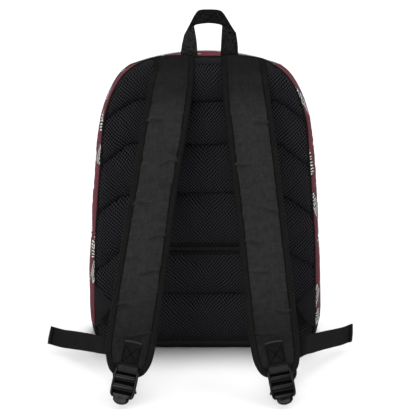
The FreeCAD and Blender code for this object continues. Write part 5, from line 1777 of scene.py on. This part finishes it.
# =====================================================================
# Haul loop: two legs that climb to slanting folds, and a grip hung between the folds
# =====================================================================
# (x, z) of each leg's outer and inner edges, from the bag up
LOOP_LEGS = {
    "l": ([(-32.2, 409.6), (-32.0, 411.6), (-30.6, 424), (-27.7, 436.6)],
          [(-9.4, 409.6), (-9.5, 411.6), (-11.0, 430), (-14.2, 449.6)]),
    "r": ([(44.2, 409.6), (44.0, 411.6), (43.3, 426), (41.2, 439.6)],
          [(20.6, 409.6), (20.5, 411.6), (21.5, 430), (22.6, 449.6)]),
}
GRIP_TOP = [(-28.0, 436.4), (-20.6, 450.4), (-13.6, 463.6), (-7.4, 470.0), (5, 471.0),
            (17.6, 470.2), (24.2, 466.3), (33.0, 452.6), (41.5, 439.2)]
GRIP_LOW = [(-14.6, 449.2), (-11.5, 450.6), (-8.5, 451.2), (-3, 452.0), (5, 452.6),
            (12.5, 452.1), (17.0, 451.3), (20.0, 450.6), (23.0, 449.2)]


def between(first, second, rows):
    """Upright grid between two edge curves, with the places along and across it."""
    across = np.linspace(0, 1, 18)[None, :]
    edges = [resample(spline(edge, 8), rows)[:, None] for edge in (first, second)]
    place = edges[0] * (1 - across[..., None]) + edges[1] * across[..., None]
    return points(place[..., 0], 0.0, place[..., 1]), np.linspace(0, 1, rows)[:, None], across


def haul_loop():
    parts = []
    for name, (outer, inner) in LOOP_LEGS.items():
        grid, along, across = between(outer, inner, 46)
        grid[..., 1] = (-58.6 - 0.35 * np.sin(across * PI) - 0.5 * layered_noise(grid, 18, 5)
                        - 0.5 * ease(0.75, 1.0, along))
        # turn the top edge over the fold
        top, radius = grid[-1], 1.5
        upward = unit(top - grid[-2])
        fold = []
        for angle in np.linspace(0, PI, 8)[1:]:
            row = top + upward * (radius * math.sin(angle))
            row[:, 1] = top[:, 1] + radius * (1 - math.cos(angle))
            fold.append(row)
        grid = np.concatenate([grid, fold], 0)
        parts.append(sheet("loop_leg_" + name, grid, LOOP_WEB, thick=1.3, towards=TO_WEARER,
                           probe=np.s_[:40], swap=True))
    grid, along, across = between(GRIP_TOP, GRIP_LOW, 70)
    grid[..., 1] = (-56.6 + 1.6 * across - 0.9 * np.sin(across * PI)
                    - 0.5 * layered_noise(grid, 12, 7)
                    - 0.5 * np.exp(-((along - 0.22) / 0.03) ** 2)
                    - 0.5 * np.exp(-((along - 0.8) / 0.03) ** 2))
    # the grip is in the darker webbing, as painted shade
    parts.append(sheet("loop_grip", grid, SHADED_GRIP_WEB, thick=1.4, towards=TO_WEARER, swap=True))
    loop = join("haul_loop_webbing", parts)
    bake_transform(loop)
    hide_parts("haul_loop")


def sliders():
    """Sliders and pulls keep their CAD shape with a worn metal finish."""
    for name, obj in frame["nodes"].items():
        if "slider" in name or "pull" in name:
            obj.data.materials.clear()
            obj.data.materials.append(METAL.material)


# =====================================================================
# Floor, world, lights and camera (metres)
# =====================================================================
FLOOR_HALF, FLOOR_Z = 12, -0.0004


def add_floor():
    mat = Shader("floor", 0.95, 0.0)
    rays = mat.node("LightPath")
    slow = mat.noise(mat.coords("Object"), scale=0.004, detail=3)
    lit = mat.mix(slow, (0.320, 0.320, 0.320), (0.326, 0.326, 0.326))
    seen = (0.262, 0.262, 0.262)
    mat.set("Base Color", mat.mix(rays.outputs["Is Camera Ray"], seen, lit))
    mesh = bpy.data.meshes.new("floor")
    corners = [(x * FLOOR_HALF, y * FLOOR_HALF, FLOOR_Z)
               for x, y in ((-1, -1), (1, -1), (1, 1), (-1, 1))]
    mesh.from_pydata(corners, [], [(0, 1, 2, 3)])
    mesh.materials.append(mat.material)
    floor = bpy.data.objects.new("floor", mesh)
    bpy.context.scene.collection.objects.link(floor)
    return floor


def add_world():
    """White world, dim as a light and full white to the camera."""
    world = bpy.data.worlds.new("studio")
    bpy.context.scene.world = world
    world.use_nodes = True
    nodes, links = world.node_tree.nodes, world.node_tree.links
    light = nodes["Background"]
    seen = nodes.new("ShaderNodeBackground")
    for background, strength in ((light, 0.30), (seen, 1.0)):
        background.inputs[0].default_value = (1, 1, 1, 1)
        background.inputs[1].default_value = strength
    rays = nodes.new("ShaderNodeLightPath")
    mix = nodes.new("ShaderNodeMixShader")
    links.new(rays.outputs["Is Camera Ray"], mix.inputs[0])
    links.new(light.outputs[0], mix.inputs[1])
    links.new(seen.outputs[0], mix.inputs[2])
    links.new(mix.outputs[0], nodes["World Output"].inputs[0])


def collect(name, objects):
    """Collection for light linking only."""
    collection = bpy.data.collections.new(name)
    for obj in objects:
        collection.objects.link(obj)
    return collection


def add_sun(name, azimuth, elevation, strength, spread, receivers=None, blockers=None):
    """Broad soft light; azimuth in degrees from the wearer's side round towards +X."""
    light = bpy.data.lights.new(name, "SUN")
    light.energy = strength
    light.angle = math.radians(spread)
    obj = bpy.data.objects.new(name, light)
    turn, rise = math.radians(azimuth), math.radians(elevation)
    direction = Vector((math.sin(turn) * math.cos(rise), -math.cos(turn) * math.cos(rise),
                        math.sin(rise)))
    obj.location = direction * 3
    obj.rotation_euler = (-direction).to_track_quat("-Z", "Y").to_euler()
    bpy.context.scene.collection.objects.link(obj)
    if receivers is not None:
        obj.light_linking.receiver_collection = receivers
    if blockers is not None:
        obj.light_linking.blocker_collection = blockers


def add_lights(floor):
    floor_only = collect("floor_only", [floor])
    body_prefixes = ("gusset_", "base_cloth", "back_mesh", "back_edge", "front_panel_cloth",
                     "bottom_band")
    body_only = collect("body_only", [obj for obj in list(bpy.context.scene.objects)
                                      if obj.name.startswith(body_prefixes)])
    # name, azimuth, elevation, strength, spread, receivers, blockers
    for row in (
            ("overhead_core", 155, 82.5, 5.8, 14, floor_only, body_only),
            ("overhead_right", 100, 56, 1.7, 34, floor_only),
            ("overhead_left", -100, 56, 1.3, 34, floor_only),
            ("top", 180, 78, 0.95, 26),
            ("key", -20, 41, 1.45, 40),
            ("fill_right", 80, 42, 0.4, 60),
            ("fill_left", -100, 42, 0.35, 60),
            ("rear", 165, 50, 0.2, 40)):
        add_sun(*row)


def add_camera():
    scene = bpy.context.scene
    scene.view_settings.view_transform = "Standard"
    scene.view_settings.look = "None"
    scene.view_settings.exposure = 0.0
    lens = bpy.data.cameras.new("camera")
    lens.sensor_width = 36.0
    lens.lens = 111.63461538
    camera = bpy.data.objects.new("camera", lens)
    camera.location = (0.00405, -1.762, 0.655)
    camera.rotation_euler = (math.radians(75.086), 0, 0)    # 90 would look level
    scene.collection.objects.link(camera)
    scene.camera = camera


# =====================================================================
# Build
# =====================================================================
gusset()
base()
main_zip()
edge_binding("back_edge_binding", "back_seam_binding", BACK_SEAM, sign=-1,
             depth=-60.4, slope=0.0, height=3.9, seed=5)
edge_binding("front_edge_binding", "front_seam_binding", FRONT_SEAM, sign=1,
             depth=FRONT_Y + 0.2, slope=FRONT_SLOPE, height=3.2, seed=9)
back_quilts()
top_band()
flat_piece("bottom_band_cloth", "back_bottom_band", "plain_fabric", PLAIN, (-141, 141),
           (2.6, 9.2), y=-61.0, shape=(160, 10), thick=1.4, bulge=0.7, end_rise=0.28)
back_zip()
inner_layers()
front_panel()
front_pocket()
front_zip()
for strap in (Strap("left"), Strap("right")):
    strap_pad(strap)
    strap_binding(strap)
    webbing_patch(strap)
    ladder_lock(strap)
    lock_webbing(strap)
    load_strand(strap)
    web_tail(strap)
    side_tab(strap)
haul_loop()
sliders()
floor = add_floor()
add_world()
add_lights(floor)
add_camera()
